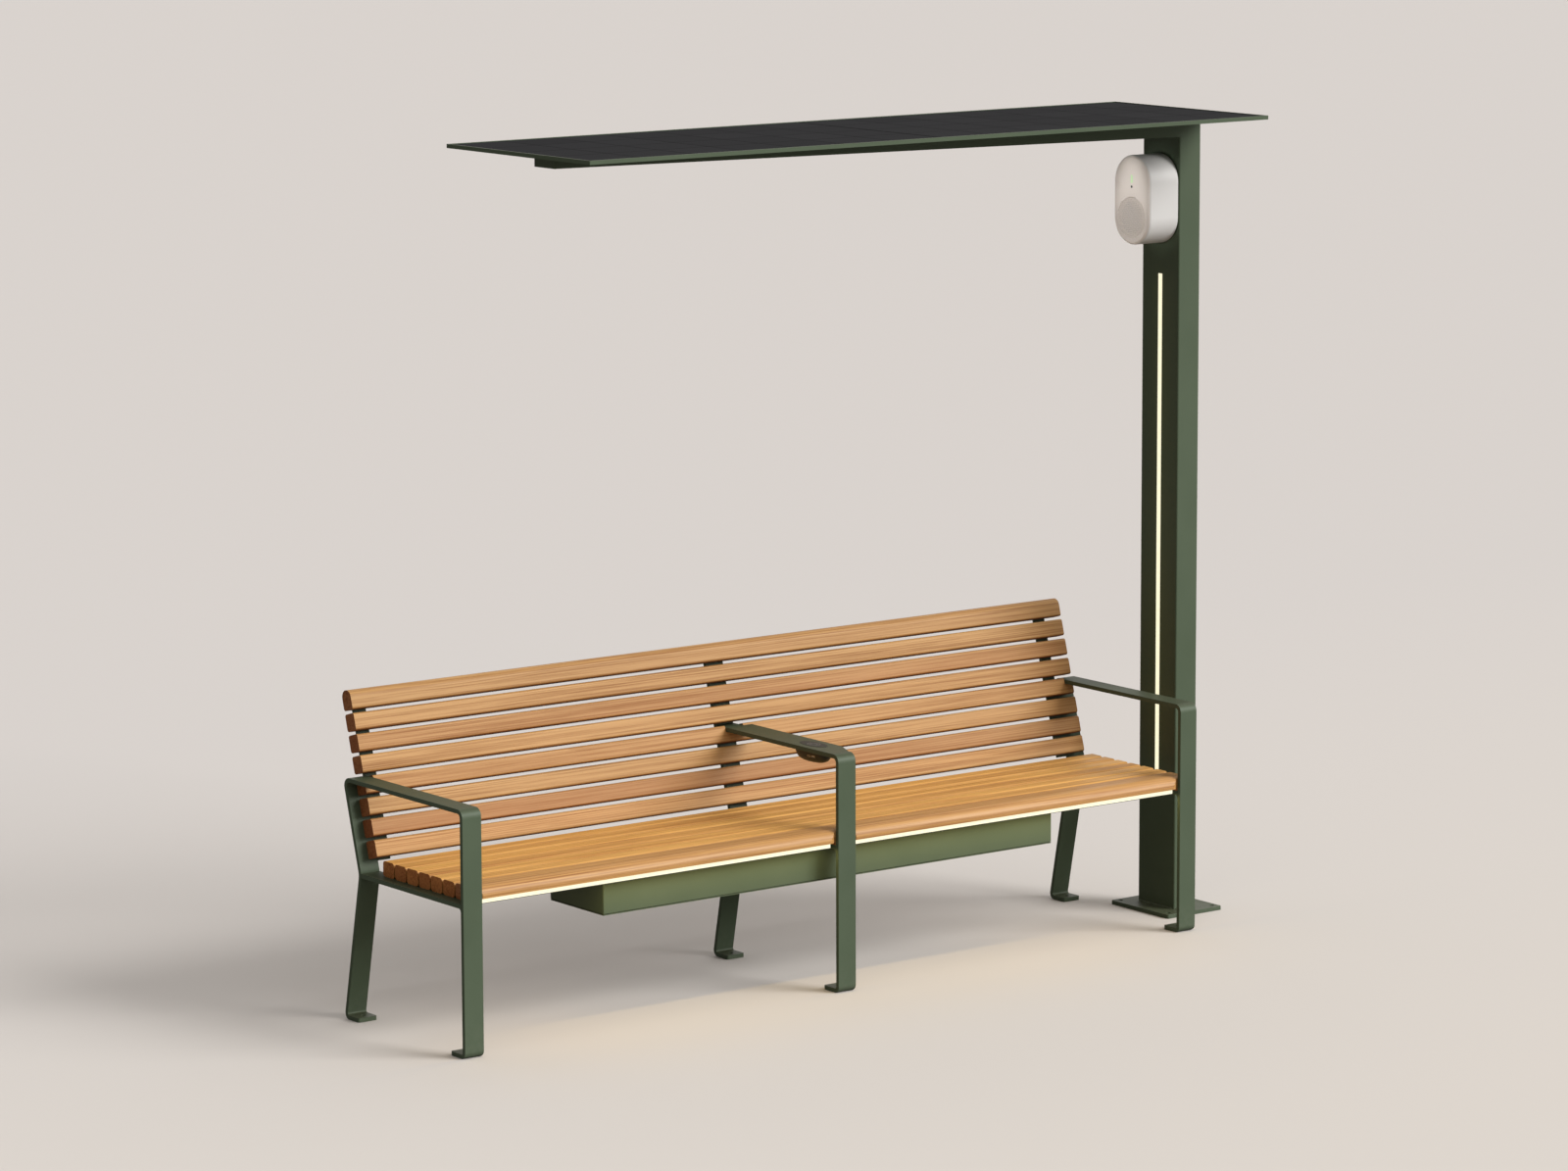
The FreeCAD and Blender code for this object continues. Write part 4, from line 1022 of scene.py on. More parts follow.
@dataclass(frozen=True)
class Finishes:
    """Every finish on the object that isn't a slat's own."""

    # The paint's upward faces get painted shade.
    paint: CoatFinish = CoatFinish("olive_powder_coat",
                                   (0.067, 0.093, 0.057), (0.077, 0.105, 0.065),
                                   0.44, 0.1, dust=0.06, gloss=0.22, top_shade=(0.74, 0.66, 0.58))
    steel: CoatFinish = CoatFinish("stainless_fasteners", (0.46, 0.46, 0.45), (0.58, 0.58, 0.56),
                                   0.28, 0.14, metallic=1.0, grain=2500.0, depth=0.00005)
    channel: CoatFinish = CoatFinish("anodised_channel", (0.14, 0.14, 0.13), (0.18, 0.18, 0.17),
                                     0.3, 0.12, metallic=1.0, grain=2200.0, depth=0.00005)
    seal: CoatFinish = CoatFinish("black_foam", (0.012, 0.012, 0.012), (0.02, 0.02, 0.02),
                                  0.8, 0.1, grain=1400.0, depth=0.0003)
    battery: CoatFinish = CoatFinish("battery_case", (0.03, 0.031, 0.034), (0.042, 0.043, 0.047),
                                     0.5, 0.15, grain=1300.0, depth=0.0002)
    controller: CoatFinish = CoatFinish("controller_case", (0.2, 0.21, 0.22), (0.26, 0.27, 0.28),
                                        0.42, 0.12, metallic=0.8, grain=1500.0)
    plastic: CoatFinish = CoatFinish("black_plastic", (0.018, 0.018, 0.018), (0.028, 0.028, 0.028),
                                     0.45, 0.15, grain=1600.0)
    pad: CoatFinish = CoatFinish("charging_pad", (0.022, 0.021, 0.017), (0.03, 0.029, 0.024),
                                 0.5, 0.12, grain=2000.0, gloss=0.25)
    copper: CoatFinish = CoatFinish("coil_winding", (0.5, 0.2, 0.08), (0.62, 0.27, 0.11),
                                    0.3, 0.2, metallic=1.0, grain=2600.0, depth=0.0002)
    pod: CoatFinish = CoatFinish("charger_pod", (0.024, 0.028, 0.02), (0.031, 0.036, 0.026),
                                 0.4, 0.12, grain=1500.0)
    socket: CoatFinish = CoatFinish("socket_metal", (0.6, 0.6, 0.6), (0.7, 0.7, 0.7),
                                    0.3, 0.1, metallic=1.0, grain=2500.0)
    shell: ShellFinish = ShellFinish("speaker_shell", (0.59, 0.582, 0.58), (0.62, 0.612, 0.61),
                                     0.45, 0.12, grain=1500.0, depth=0.00008)
    bracket: CoatFinish = CoatFinish("speaker_bracket", (0.3, 0.275, 0.25), (0.34, 0.31, 0.285),
                                     0.5, 0.12)
    grille: CoatFinish = CoatFinish("speaker_grille", (0.8, 0.73, 0.675), (0.82, 0.75, 0.695),
                                    0.5, 0.1, grain=1800.0)
    driver: CoatFinish = CoatFinish("driver_cone", (0.022, 0.022, 0.022), (0.04, 0.038, 0.036),
                                    0.6, 0.2, grain=900.0, depth=0.0004)
    warm_line: GlowFinish = GlowFinish("warm_light_line",
                                       (1.0, 0.95, 0.7), (1.0, 0.935, 0.66), 0.98)
    light_strip: GlowFinish = GlowFinish("light_strip", (1.0, 0.95, 0.75), (0.9, 0.8, 0.5), 0.9)
    status: LensFinish = LensFinish("status_green",
                                    (0.6, 0.86, 0.5), (0.52, 0.8, 0.44), 0.75, 400.0)
    pad_mark: CoatFinish = CoatFinish("pad_mark", (0.13, 0.125, 0.11), (0.16, 0.155, 0.14),
                                      0.45, 0.1, grain=2000.0)


@dataclass(frozen=True)
class ViewPoint:
    """Camera solved from the photo, for an image of 1600 by 1195 pixels.

    Attributes:
        place: Position in metres.
        heading: Turn about Z, from +Y towards +X, in radians.
        dip: Angle below the horizon in radians.
        roll: Turn about the view axis in radians.
        focal_px: Focal length in pixels.
        width_px: Image width in pixels.
        sensor_mm: Width of the camera's sensor.
        clip: Nearest and farthest distance that the camera shows, in metres.
    """

    place: Point = (-9.294601, -12.313195, 3.598282)
    heading: float = 0.640731
    dip: float = 0.161836
    roll: float = -0.003519
    focal_px: float = 5773.48
    width_px: float = 1600.0
    sensor_mm: float = 36.0
    clip: tuple[float, float] = (0.1, 500.0)

    def create(self) -> None:
        """Make the camera and the scene's active one."""
        data = bpy.data.cameras.new("photo_camera")
        data.sensor_width = self.sensor_mm
        data.lens = self.focal_px / self.width_px * self.sensor_mm
        data.clip_start, data.clip_end = self.clip
        ahead = Vector((
            math.sin(self.heading) * math.cos(self.dip),
            math.cos(self.heading) * math.cos(self.dip),
            -math.sin(self.dip),
        ))
        level = Vector((math.cos(self.heading), -math.sin(self.heading), 0.0))
        upward = level.cross(ahead)
        right = level * math.cos(self.roll) + upward * math.sin(self.roll)
        up = upward * math.cos(self.roll) - level * math.sin(self.roll)
        turn = Matrix((right, up, -ahead)).transposed().to_4x4()
        camera = put("photo_camera", data)
        camera.matrix_world = Matrix.Translation(self.place) @ turn
        bpy.context.scene.camera = camera


@dataclass(frozen=True)
class Studio:
    """Pale floor, even sky light and one broad soft key light.

    Attributes:
        floor_far: Floor colour that the camera sees far off.
        floor_near: Lighter, warmer floor colour that the camera sees in front of the object,
            painted light.
        floor_fade: Y at which the far colour begins to change, and where the near one is whole.
        floor_bounce: Darker floor colour that other light meets.
        floor_half: Half the floor's length, in metres.
        sky: Sky light colour.
        sky_low: Sky light strength on the dark side.
        sky_high: Sky light strength on the bright side.
        sky_from: Direction of the sky's bright side.
        sky_span: Cosines from that direction at which the sky is darkest and brightest.
        backdrop: Colour the camera sees beyond the floor.
        key_strength: Strength of the key light.
        key_color: Its colour.
        key_angle: Apparent size of the key light in radians.
        key_from: Direction the key light comes from.
    """

    floor_far: Color = (0.56, 0.534, 0.523)
    floor_near: Color = (0.595, 0.56, 0.53)
    floor_fade: tuple[float, float] = (4.0, -2.0)
    floor_bounce: Color = (0.215, 0.2, 0.18)
    floor_half: float = 150.0
    sky: Color = (1.0, 0.975, 0.94)
    sky_low: float = 0.07
    sky_high: float = 1.12
    sky_from: Point = (0.8, -0.2, 0.56)
    sky_span: tuple[float, float] = (-0.7, 0.9)
    backdrop: Color = (0.7, 0.665, 0.61)
    key_strength: float = 3.05
    key_color: Color = (1.0, 0.985, 0.955)
    key_angle: float = math.radians(32)
    key_from: Point = (0.8, -1.08, 0.75)

    def build(self) -> None:
        """Make the floor, the world and the lights."""
        self._floor()
        self._world()
        self._key()

    @staticmethod
    def _seen_or_lit(
        graph: Graph, kind: str, lit: dict[str, Source], shown: dict[str, Source]
    ) -> Socket:
        """Mix what the camera sees with what other light meets, and give the shader's socket."""
        path = graph.add("ShaderNodeLightPath")
        mix = graph.add("ShaderNodeMixShader")
        graph.join(path.outputs["Is Camera Ray"], mix.inputs[0])
        for index, inputs in ((1, lit), (2, shown)):
            graph.join(graph.fill(graph.add(kind), inputs).outputs[0], mix.inputs[index])
        return mix.outputs[0]

    def _floor(self) -> None:
        """Lay the floor, which is paler for the camera than for other light."""
        mesh = bpy.data.meshes.new("floor")
        shape = bmesh.new()
        bmesh.ops.create_grid(shape, x_segments=1, y_segments=1, size=self.floor_half)
        shape.to_mesh(mesh)
        shape.free()
        material = bpy.data.materials.new("pale_floor")
        graph = Graph.cleared(material)
        output = graph.add("ShaderNodeOutputMaterial")
        place = graph.add("ShaderNodeTexCoord").outputs["Object"]
        # Painted light: the floor the camera sees grows lighter and warmer towards the front.
        near = graph.remap(graph.axis(place, 1), *self.floor_fade)
        shown = graph.mix_color(near, self.floor_far, self.floor_near)
        seen = self._seen_or_lit(
            graph, "ShaderNodeBsdfDiffuse", {"Color": rgba(self.floor_bounce)}, {"Color": shown}
        )
        graph.join(seen, output.inputs["Surface"])
        mesh.materials.append(material)
        floor = put("floor", mesh)

    def _world(self) -> None:
        """Set the sky light and the backdrop."""
        world = bpy.data.worlds.new("studio")
        bpy.context.scene.world = world
        graph = Graph.cleared(world)
        output = graph.add("ShaderNodeOutputWorld")
        way = graph.vector_math("NORMALIZE", graph.add("ShaderNodeTexCoord").outputs["Generated"])
        bright_side = graph.vector_math("DOT_PRODUCT", way, Vector(self.sky_from).normalized())
        strength = graph.remap(bright_side, *self.sky_span, self.sky_low, self.sky_high)
        lit = {"Color": rgba(self.sky), "Strength": strength}
        seen = self._seen_or_lit(
            graph, "ShaderNodeBackground", lit, {"Color": rgba(self.backdrop)}
        )
        graph.join(seen, output.inputs["Surface"])

    def _key(self) -> None:
        """Set the key light."""
        data = bpy.data.lights.new("key", "SUN")
        data.energy = self.key_strength
        data.angle = self.key_angle
        data.color = self.key_color
        lamp = put("key", data)
        lamp.rotation_mode = "QUATERNION"
        lamp.rotation_quaternion = Vector(self.key_from).to_track_quat("Z", "Y")


@dataclass(frozen=True)
class WeldSizes:
    """Sizes of the weld beads, in metres.

    Attributes:
        radius: Radius of the bead about the corner line.
        sides: Sides of its section.
        ring_step: Distance between the rings of its mesh.
        least_rings: Fewest rings that a bead has.
        ripple: Share that the ripples add and take away.
        ripple_pitch: Length of a ripple.
        end_share: Thickness at the very ends.
        end_length: Length of the taper at each end.
    """

    radius: float = 0.0032
    sides: int = 10
    ring_step: float = 0.0009
    least_rings: int = 6
    ripple: float = 0.09
    ripple_pitch: float = 0.0034
    end_share: float = 0.45
    end_length: float = 0.004


class Piece:
    """Small mesh piece that is put together from shapes made by mesh operators."""

    def __init__(self, name: str) -> None:
        """Start an empty mesh.

        Args:
            name: Name of the finished object.
        """
        self.name = name
        self.shape = bmesh.new()

    def absorb(self, part: bmesh.types.BMesh) -> None:
        """Add a finished part to the piece and free it.

        Args:
            part: The part's mesh.
        """
        mesh = bpy.data.meshes.new("part")
        part.to_mesh(mesh)
        part.free()
        self.shape.from_mesh(mesh)
        bpy.data.meshes.remove(mesh)

    def weld_bead(self, start: Vector, end: Vector, size: WeldSizes) -> None:
        """Add a rippled bead along the corner between two faces.

        Args:
            start: Start of the corner line.
            end: End of the corner line.
            size: Sizes of the bead.
        """
        length = (end - start).length
        part = bmesh.new()
        bmesh.ops.create_cone(
            part, cap_ends=True, cap_tris=False, segments=size.sides,
            radius1=size.radius, radius2=size.radius, depth=length,
        )
        lengthwise = [e for e in part.edges if abs(e.verts[0].co.z - e.verts[1].co.z) > length / 2]
        cuts = max(size.least_rings, round(length / size.ring_step))
        bmesh.ops.subdivide_edges(part, edges=lengthwise, cuts=cuts, use_grid_fill=True)
        for vert in part.verts:
            along = vert.co.z + length / 2
            nearest_end = min(along, length - along)
            taper = min(1.0, size.end_share + (1 - size.end_share) * nearest_end / size.end_length)
            ripple = 1 + size.ripple * math.sin(along / size.ripple_pitch * math.tau)
            vert.co.x *= taper * ripple
            vert.co.y *= taper * ripple
        turn = (end - start).to_track_quat("Z", "Y").to_matrix().to_4x4()
        place = Matrix.Translation((start + end) / 2) @ turn
        bmesh.ops.transform(part, matrix=place, verts=part.verts)
        self.absorb(part)

    def flat_ring(
        self, center: Vector, inner: float, outer: float, height: float, stretch: float
    ) -> None:
        """Add a thin flat ring.

        Args:
            center: Middle of the ring's underside.
            inner: Inner radius.
            outer: Outer radius.
            height: Thickness.
            stretch: Length along Y over width along X.
        """
        part = bmesh.new()
        for radius in (inner, outer):
            bmesh.ops.create_circle(part, cap_ends=False, segments=RING_SIDES, radius=radius)
        faces = bmesh.ops.bridge_loops(part, edges=list(part.edges))["faces"]
        lifted = bmesh.ops.extrude_face_region(part, geom=faces)["geom"]
        top = [item for item in lifted if isinstance(item, bmesh.types.BMVert)]
        bmesh.ops.translate(part, vec=Z_AXIS * height, verts=top)
        bmesh.ops.scale(part, vec=(1.0, stretch, 1.0), verts=part.verts)
        bmesh.ops.translate(part, vec=center, verts=part.verts)
        self.absorb(part)

    def finish(
        self, body: Body, slot: Slot, material: bpy.types.Material, smooth: bool
    ) -> bpy.types.Object:
        """Turn the mesh into an object that rides on a body.

        Args:
            body: The body to ride on.
            slot: The record's material slot; not used.
            material: The material.
            smooth: Whether faces are shaded smooth.

        Returns:
            The new object.
        """
        bmesh.ops.recalc_face_normals(self.shape, faces=self.shape.faces)
        mesh = bpy.data.meshes.new(self.name)
        self.shape.to_mesh(mesh)
        self.shape.free()
        for face in mesh.polygons:
            face.use_smooth = smooth
        mesh.materials.append(material)
        obj = put(self.name, mesh)
        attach(obj, body.value)
        LOG.info("piece %s: %d faces", self.name, len(mesh.polygons))
        return obj


class Workshop:
    """What the sub-assemblies share: the frame's nodes, the finishes and their materials."""

    def __init__(self, frame: dict) -> None:
        """Keep the loaded frame.
        """
        self.nodes = frame["nodes"]
        self.finishes = Finishes()
        self._groups = GroupLibrary()
        self._materials: dict[str, bpy.types.Material] = {}

    def material(self, finish: Finish) -> bpy.types.Material:
        """Give a finish's material, making it the first time.

        Args:
            finish: The finish.

        Returns:
            Its material.
        """
        if finish.name not in self._materials:
            self._materials[finish.name] = finish.build(self._groups)
        return self._materials[finish.name]

    def dress(self, finish: Finish, *names: str) -> None:
        """Give CAD nodes one finish.

        Args:
            finish: The finish.
            *names: The nodes' names.
        """
        for name in names:
            mesh = self.nodes[name].data
            mesh.materials.clear()
            mesh.materials.append(self.material(finish))
            LOG.info("node %s: %s", name, finish.name)

    def report_bare(self) -> None:
        """Log every node that has no finish."""
        for name, node in sorted(self.nodes.items()):
            if not node.data.materials:
                LOG.warning("no finish on %s", name)


class Assembly:
    """One sub-assembly of the object."""

    def build(self, shop: Workshop) -> None:
        """Give the nodes their finishes, and add the pieces and lamps that the frame doesn't hold.

        Args:
            shop: The shared workshop.
        """
        raise NotImplementedError


@dataclass
class SteelFrames(Assembly):
    """Bent flat-bar frames, seat rails, back uprights and battens, with their welds.

    Attributes:
        weld: Sizes of the weld beads.
        weld_inset: Distance of a bead's end from the bar's edge.
        bar: Thickness of the flat bar.
        sides: The three places of frames and rails.
    """

    weld: WeldSizes = WeldSizes()
    weld_inset: float = 0.003
    bar: float = 0.012
    sides: tuple[str, ...] = ("left", "middle", "right")

    def build(self, shop: Workshop) -> None:
        """Dress the steel and add the welds. See Assembly.build."""
        paint = shop.finishes.paint
        shop.dress(paint, "frame_left", "frame_right", "frame_middle_front", "frame_middle_back")
        shop.dress(paint, "back_upright_left", "back_upright_right", "seat_battens")
        for side in self.sides:
            shop.dress(paint, "seat_rail_" + side)
            self._rail_welds(shop, side)
        shop.dress(shop.finishes.steel, "back_slat_screws", "seat_slat_screws")

    def _rail_welds(self, shop: Workshop, side: str) -> None:
        """Add the beads above and below the rail where it meets the front leg and the waist."""
        low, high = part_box("seat_rail_" + side)
        start_x = low.x + self.weld_inset
        end_x = high.x - self.weld_inset
        under = high.z - self.bar
        piece = Piece("rail_weld_" + side)
        piece.weld_bead(Vector((start_x, low.y, under)), Vector((end_x, low.y, under)), self.weld)
        piece.weld_bead(Vector((start_x, high.y, under)), Vector((end_x, high.y, under)), self.weld)
        piece.finish(Body.BENCH, Slot.PAINT, shop.material(shop.finishes.paint), True)


@dataclass(frozen=True)
class Board:
    """One slat's look.

    Attributes:
        node: Name of the slat's node.
        redness: How far it leans to the redder colour.
        lightness: Factor on its colours.
        cut: How it was sawn.
    """

    node: str
    redness: float
    lightness: float
    cut: SawCut


@dataclass
class TimberSlats(Assembly):
    """Seat and back slats, each with its own piece of the same timber.

    Attributes:
        seed: Start of the random draws.
        lean: Angle that the back leans by, in radians.
        upper_shade_edge: How much painted shade a back slat's upper edge gets beside its lower one.
        back_light: Early wood of the back.
        back_dark: Late wood of the back.
        seat_light: Early wood of the seat, a lighter, more golden copy of the back's: painted light
            on the upward seat.
        seat_dark: Late wood of the seat, with the same painted light.
        nose_light: Early wood of the nose.
        nose_dark: Late wood of the nose.
        seat_shade_edge: Share of the painted shade on the seat slats' long edges, in the gaps
            between them.
        coat: Weight of the oil film.
        nose_coat: Weight of the thicker film on the round nose.
        near_pith: Farthest that the log's heart lies beside a board's middle, in metres.
        far_pith: Least and greatest distance of the heart behind a board, in metres.
        shift: Farthest that a board's pattern is shifted along each axis.
        boards: The slats from the top of the back down, then from the rear of the seat forward.
    """

    seed: int = 11
    lean: float = math.radians(16)
    upper_shade_edge: float = 0.45
    back_light: Color = (0.464, 0.258, 0.091)
    back_dark: Color = (0.212, 0.084, 0.019)
    # Painted light: the seat's colours, and partly the nose's, are lighter copies of the back's
    # timber.
    seat_light: Color = (0.7, 0.385, 0.103)
    seat_dark: Color = (0.31, 0.12, 0.022)
    nose_light: Color = (0.54, 0.292, 0.094)
    nose_dark: Color = (0.24, 0.092, 0.018)
    seat_shade_edge: float = 0.6
    coat: float = 0.04
    nose_coat: float = 0.22
    near_pith: float = 0.02
    far_pith: tuple[float, float] = (0.05, 0.11)
    shift: Point = (30.0, 3.0, 3.0)
    boards: tuple[Board, ...] = (
        Board("back_slat_1", 0.1, 0.98, SawCut.QUARTER),
        Board("back_slat_2", 0.08, 1.04, SawCut.QUARTER),
        Board("back_slat_3", 0.36, 1.02, SawCut.QUARTER),
        Board("back_slat_4", 0.1, 1.06, SawCut.QUARTER),
        Board("back_slat_5", 0.2, 1.05, SawCut.FLAT),
        Board("back_slat_6", 0.08, 1.01, SawCut.QUARTER),
        Board("back_slat_7", 0.45, 0.92, SawCut.QUARTER),
        Board("back_slat_8", 0.14, 1.15, SawCut.QUARTER),
        Board("seat_slat_1", 0.1, 1.0, SawCut.QUARTER),
        Board("seat_slat_2", 0.2, 0.96, SawCut.QUARTER),
        Board("seat_slat_3", 0.08, 1.02, SawCut.QUARTER),
        Board("seat_slat_4", 0.24, 0.95, SawCut.QUARTER),
        Board("seat_slat_5", 0.1, 1.0, SawCut.QUARTER),
        Board("seat_slat_6", 0.18, 0.98, SawCut.QUARTER),
        Board(NOSE, 0.2, 0.97, SawCut.QUARTER),
    )

    def build(self, shop: Workshop) -> None:
        """Dress every slat. See Assembly.build."""
        dice = random.Random(self.seed)
        for board in self.boards:
            shop.dress(self._finish(board, dice), board.node)

    def _finish(self, board: Board, dice: random.Random) -> WoodFinish:
        """Give one slat's finish, with the log's heart beside or behind its main face."""
        low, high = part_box(board.node)
        middle = (low + high) / 2
        near = dice.uniform(-self.near_pith, self.near_pith)
        far = dice.uniform(*self.far_pith)
        shown_upward = board.node.startswith("seat")
        sideways = shown_upward == (board.cut is SawCut.QUARTER)
        across, below = (far, near) if sideways else (near, far)
        side, other_shade_side = self._shaded_edges(board.node)
        light, dark = self._tones(board.node)
        return WoodFinish(
            name="timber_" + board.node,
            light=tuple(c * board.lightness for c in light),
            dark=tuple(c * board.lightness for c in dark),
            redness=board.redness,
            seed=tuple(dice.uniform(-reach, reach) for reach in self.shift),
            pith=(0.0, middle.y + across, middle.z - below),
            side=side,
            other_shade_side=other_shade_side,
            coat=self.nose_coat if board.node == NOSE else self.coat,
        )

    def _tones(self, node: str) -> tuple[Color, Color]:
        """Give a slat's early and late wood."""
        if node == NOSE:
            return self.nose_light, self.nose_dark
        if node.startswith("seat"):
            return self.seat_light, self.seat_dark
        return self.back_light, self.back_dark

    def _shaded_edges(self, node: str) -> tuple[Point, float]:
        """Give the direction of a slat's long edge with painted shade, and how much painted shade
        the opposite one gets.
        """
        # Painted shade goes on the nose's rear edge, on both long edges of the seat slats, and on
        # the back slats' lower edges, less on their upper ones.
        if node == NOSE:
            return (0.0, self.seat_shade_edge, 0.0), 0.0
        if node.startswith("seat"):
            return (0.0, -self.seat_shade_edge, 0.0), 1.0
        down = (0.0, -math.sin(self.lean), -math.cos(self.lean))
        return down, 0.0 if node == "back_slat_1" else self.upper_shade_edge


def area_lamp(name: str, shape: str, size: tuple[float, float], watts: float) -> bpy.types.Object:
    """Add an area lamp that the camera doesn't see.

    Args:
        name: Lamp name.
        shape: Blender's name for its shape.
        size: Its two sizes in metres.
        watts: Power.

    Returns:
        The lamp, which isn't placed yet.
    """
    data = bpy.data.lights.new(name, "AREA")
    data.shape = shape
    data.size, data.size_y = size
    data.energy = watts
    lamp = put(name, data)
    lamp.visible_camera = False
    return lamp


@dataclass(frozen=True)
class LampLine:
    """Long thin lamp that throws an LED line's light, unseen itself.

    Attributes:
        name: Lamp name.
        watts: Power.
        width: Width of the lamp in metres.
        color: Light colour.
    """

    name: str
    watts: float
    width: float = 0.006
    color: Color = (1.0, 0.72, 0.3)

    def place(self, start: Vector, end: Vector, facing: Vector) -> None:
        """Put the lamp along a line.

        Args:
            start: Start of the line.
            end: End of the line.
            facing: Direction that the light goes.
        """
        size = ((end - start).length, self.width)
        lamp = area_lamp(self.name, "RECTANGLE", size, self.watts)
        lamp.data.color = self.color
        along = (end - start).normalized()
        back = -facing.normalized()
        turn = Matrix((along, back.cross(along), back)).transposed().to_4x4()
        lamp.matrix_world = Matrix.Translation((start + end) / 2) @ turn


@dataclass
class SeatLights(Assembly):
    """Light channels under the nose slat, in two bays.

    Attributes:
        watts: Power of each bay's lamp.
        drop: Distance of the lamp below the diffuser.
    """

    watts: float = 0.9
    drop: float = 0.002

    def build(self, shop: Workshop) -> None:
        """Dress the channels and place the lamps. See Assembly.build."""
        shop.dress(shop.finishes.light_strip, "light_strips")
        for side in ("left", "right"):
            shop.dress(shop.finishes.channel, "seat_light_channel_" + side)
            diffuser = "seat_light_diffuser_" + side
            shop.dress(shop.finishes.warm_line, diffuser)
            low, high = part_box(diffuser)
            line = LampLine("seat_lamp_" + side, self.watts)
            height = low.z - self.drop
            line.place(Vector((low.x, low.y, height)), Vector((high.x, low.y, height)), -Z_AXIS)


class BatteryBox(Assembly):
    """Box under the seat with its door, batteries and controller."""

    def build(self, shop: Workshop) -> None:
        """Dress the box and what it holds. See Assembly.build."""
        finishes = shop.finishes
        shop.dress(finishes.paint, "battery_box", "battery_box_door")
        shop.dress(finishes.steel, "door_hinge_pins", "door_screws", "box_bolts")
        shop.dress(finishes.seal, "door_seal")
        shop.dress(finishes.battery, "battery_left", "battery_right")
        shop.dress(finishes.controller, "charge_controller")
        shop.dress(finishes.plastic, "cable_glands", "junction_boxes")


@dataclass
class Post(Assembly):
    """Post with its base plate, foot weld and light line.

    Attributes:
        weld: Sizes of the weld bead round the foot.
        corner: Distance of each bead's end from the post's corner.
        glow_watts: Power of the lamp that lights the face round the line.
        glow_gap: Distance of that lamp from the face.
    """

    weld: WeldSizes = WeldSizes(radius=0.0042, ripple_pitch=0.0042, ring_step=0.0012)
    corner: float = 0.006
    glow_watts: float = 0.035
    glow_gap: float = 0.04

    def build(self, shop: Workshop) -> None:
        """Dress the post and add its weld and glow. See Assembly.build."""
        finishes = shop.finishes
        shop.dress(finishes.paint, "post_tube", "post_base_plate")
        shop.dress(finishes.channel, "post_light_channel")
        shop.dress(finishes.warm_line, "post_light_diffuser")
        self._foot_weld(shop)
        low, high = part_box("post_light_diffuser")
        middle_y = (low.y + high.y) / 2
        out_x = low.x - self.glow_gap
        line = LampLine("post_lamp", self.glow_watts)
        line.place(Vector((out_x, middle_y, low.z)), Vector((out_x, middle_y, high.z)), X_AXIS)

    def _foot_weld(self, shop: Workshop) -> None:
        """Add the bead along the four sides of the post's foot."""
        low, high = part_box("post_tube")
        c = self.corner
        z = low.z
        piece = Piece("post_foot_weld")
        for y in (low.y, high.y):
            piece.weld_bead(Vector((low.x + c, y, z)), Vector((high.x - c, y, z)), self.weld)
        for x in (low.x, high.x):
            piece.weld_bead(Vector((x, low.y + c, z)), Vector((x, high.y - c, z)), self.weld)
        piece.finish(Body.BENCH, Slot.PAINT, shop.material(shop.finishes.paint), True)


@dataclass
class Canopy(Assembly):
    """Beam, tray and the two panels with their fields of cells.

    Attributes:
        columns: Cells along each panel.
        rows: Cells across it.
        gap: Width of the grooves between the cells.
        groove: Depth of the grooves.
    """

    columns: int = 7
    rows: int = 4
    gap: float = 0.0032
    groove: float = 0.0006

    def build(self, shop: Workshop) -> None:
        """Dress the canopy and lay the panels. See Assembly.build."""
        shop.dress(shop.finishes.paint, "canopy_beam", "canopy_tray")
        for side in ("left", "right"):
            self._panel(shop, side)

    def _panel(self, shop: Workshop, side: str) -> None:
        """Lay one panel: a slab whose top is cut into cells by shallow grooves."""
        node = "solar_panel_" + side
        low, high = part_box(node)
        size = high - low
        finish = PanelFinish(
            name="cells_" + side,
            start=(low.x, low.y, 0.0),
            pitch=(size.x / self.columns, size.y / self.rows, 1.0),
        )
        shop.dress(finish, node)
        piece = Piece("cell_field_" + side)
        shape = piece.shape
        bmesh.ops.create_grid(shape, x_segments=self.columns, y_segments=self.rows, size=0.5)
        bmesh.ops.scale(shape, vec=(size.x, size.y, 1.0), verts=shape.verts)
        middle = (low + high) / 2
        bmesh.ops.translate(shape, vec=(middle.x, middle.y, low.z), verts=shape.verts)
        lifted = bmesh.ops.extrude_face_region(shape, geom=list(shape.faces))["geom"]
        top_verts = [item for item in lifted if isinstance(item, bmesh.types.BMVert)]
        cells = [item for item in lifted if isinstance(item, bmesh.types.BMFace)]
        bmesh.ops.translate(shape, vec=Z_AXIS * (size.z - self.groove), verts=top_verts)
        bmesh.ops.recalc_face_normals(shape, faces=shape.faces)
        bmesh.ops.inset_individual(shape, faces=cells, thickness=self.gap / 2, depth=self.groove)
        field = piece.finish(Body.BENCH, Slot.PANEL, shop.material(finish), False)
        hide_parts(node)


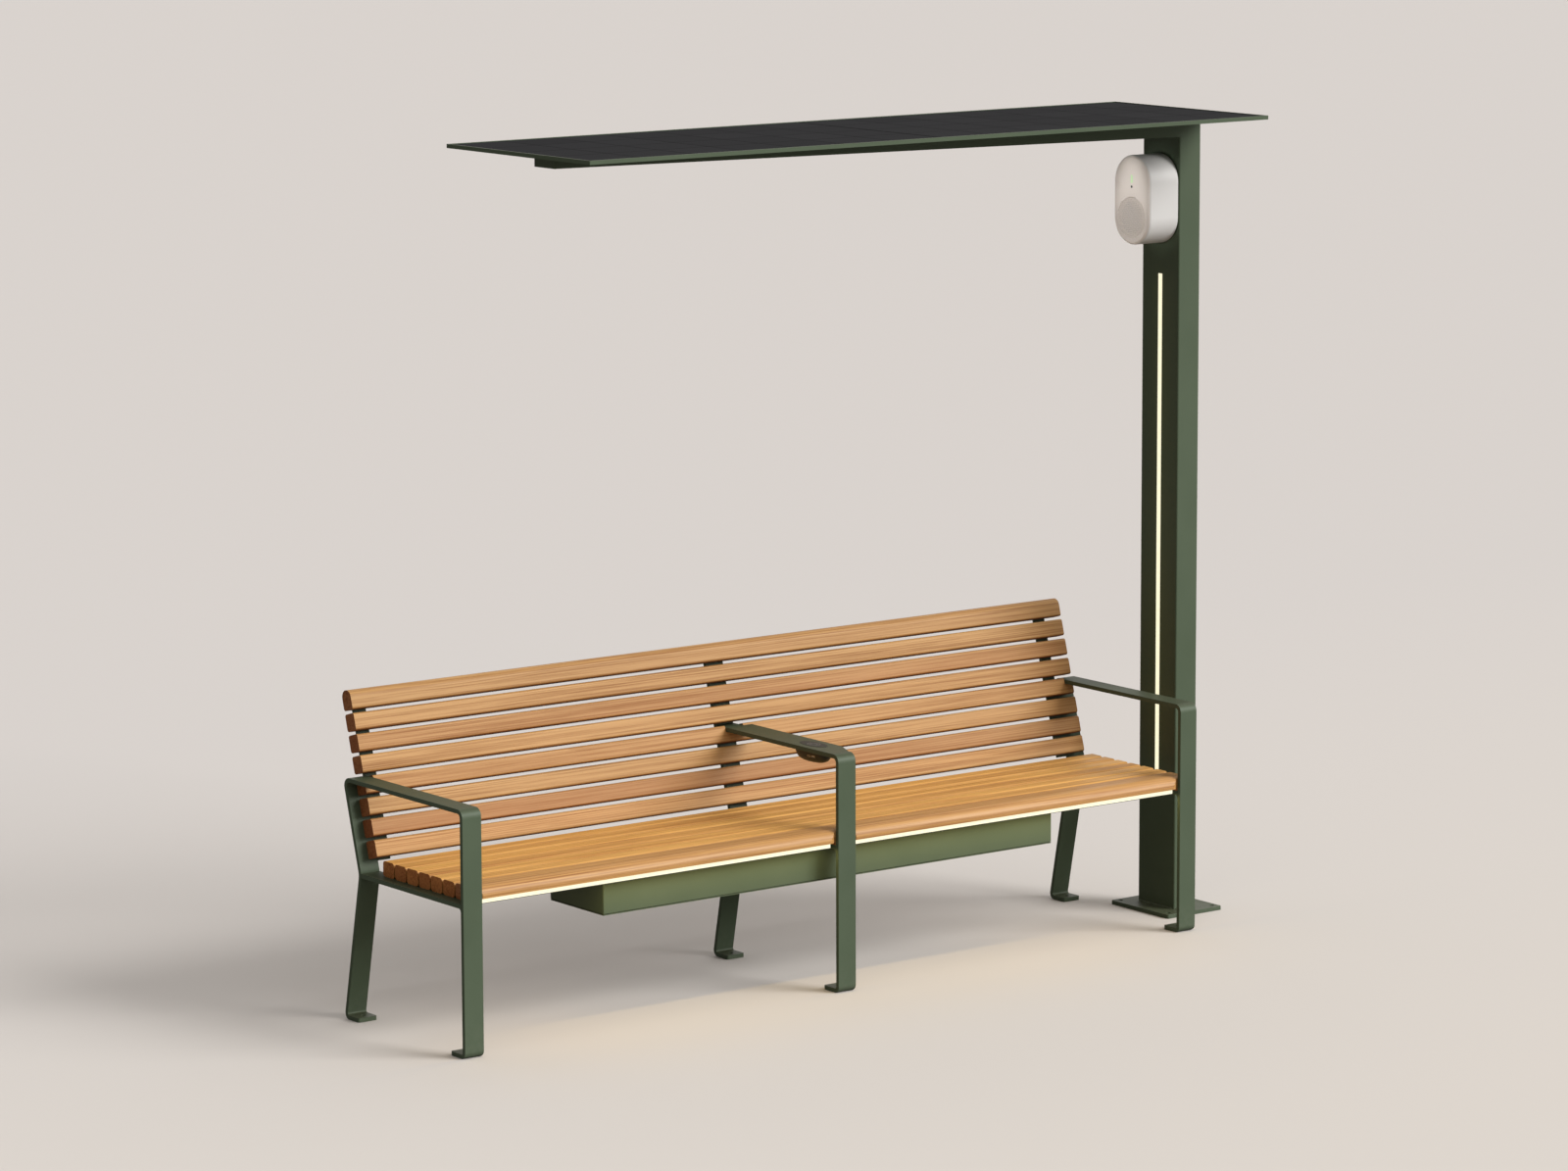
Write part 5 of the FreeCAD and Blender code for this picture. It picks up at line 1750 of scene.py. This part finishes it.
@dataclass
class Speaker(Assembly):
    """Speaker unit on the post, with a small lamp that lifts its front.

    Attributes:
        fill_watts: Power of the lamp.
        fill_gap: Distance of the lamp from the front, in metres.
        fill_spread: Angle that the lamp's light spreads over, in radians.
    """

    fill_watts: float = 0.06
    fill_gap: float = 0.5
    fill_spread: float = math.radians(12)

    def build(self, shop: Workshop) -> None:
        """Dress the speaker. See Assembly.build."""
        finishes = shop.finishes
        shop.dress(finishes.bracket, "speaker_bracket")
        shop.dress(finishes.shell, "speaker_housing")
        shop.dress(finishes.grille, "speaker_grille")
        shop.dress(finishes.driver, "speaker_driver")
        shop.dress(finishes.status, "status_lights")
        low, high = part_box("speaker_housing")
        size = (high.z - low.z, high.y - low.y)
        lamp = area_lamp("speaker_fill", "ELLIPSE", size, self.fill_watts)
        lamp.data.spread = self.fill_spread
        middle = (low + high) / 2
        turn = Matrix((Z_AXIS, Y_AXIS, -X_AXIS)).transposed().to_4x4()
        lamp.matrix_world = Matrix.Translation((low.x - self.fill_gap, middle.y, middle.z)) @ turn


@dataclass
class Charger(Assembly):
    """Charger in the middle arm: pad, coil, pod and sockets.

    Attributes:
        rings: Inner and outer radius of each ring on the pad, in metres.
        ring_height: Thickness of the rings, which are half sunk in the pad.
        ring_stretch: Length of a ring over its width.
    """

    rings: tuple[tuple[float, float], ...] = ((0.0085, 0.0098), (0.0155, 0.0168))
    ring_height: float = 0.0004
    ring_stretch: float = 1.25

    def build(self, shop: Workshop) -> None:
        """Dress the charger and mark the pad. See Assembly.build."""
        finishes = shop.finishes
        shop.dress(finishes.pad, "charging_pad")
        shop.dress(finishes.copper, "charging_coil")
        shop.dress(finishes.pod, "charger_pod")
        shop.dress(finishes.socket, "usb_sockets")
        low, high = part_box("charging_pad")
        center = (low + high) / 2
        center.z = high.z - self.ring_height / 2
        piece = Piece("charging_pad_mark")
        for inner, outer in self.rings:
            piece.flat_ring(center, inner, outer, self.ring_height, self.ring_stretch)
        piece.finish(Body.BENCH, Slot.PAD, shop.material(finishes.pad_mark), False)


def main() -> None:
    """Build the whole scene."""
    logging.basicConfig(level=logging.INFO)
    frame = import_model()
    bpy.context.scene.view_settings.view_transform = "Standard"
    shop = Workshop(frame)
    assemblies = (
        SteelFrames(), TimberSlats(), SeatLights(), BatteryBox(),
        Post(), Canopy(), Speaker(), Charger(),
    )
    for assembly in assemblies:
        assembly.build(shop)
    shop.report_bare()
    Studio().build()
    ViewPoint().create()


if __name__ == "__main__":
    main()
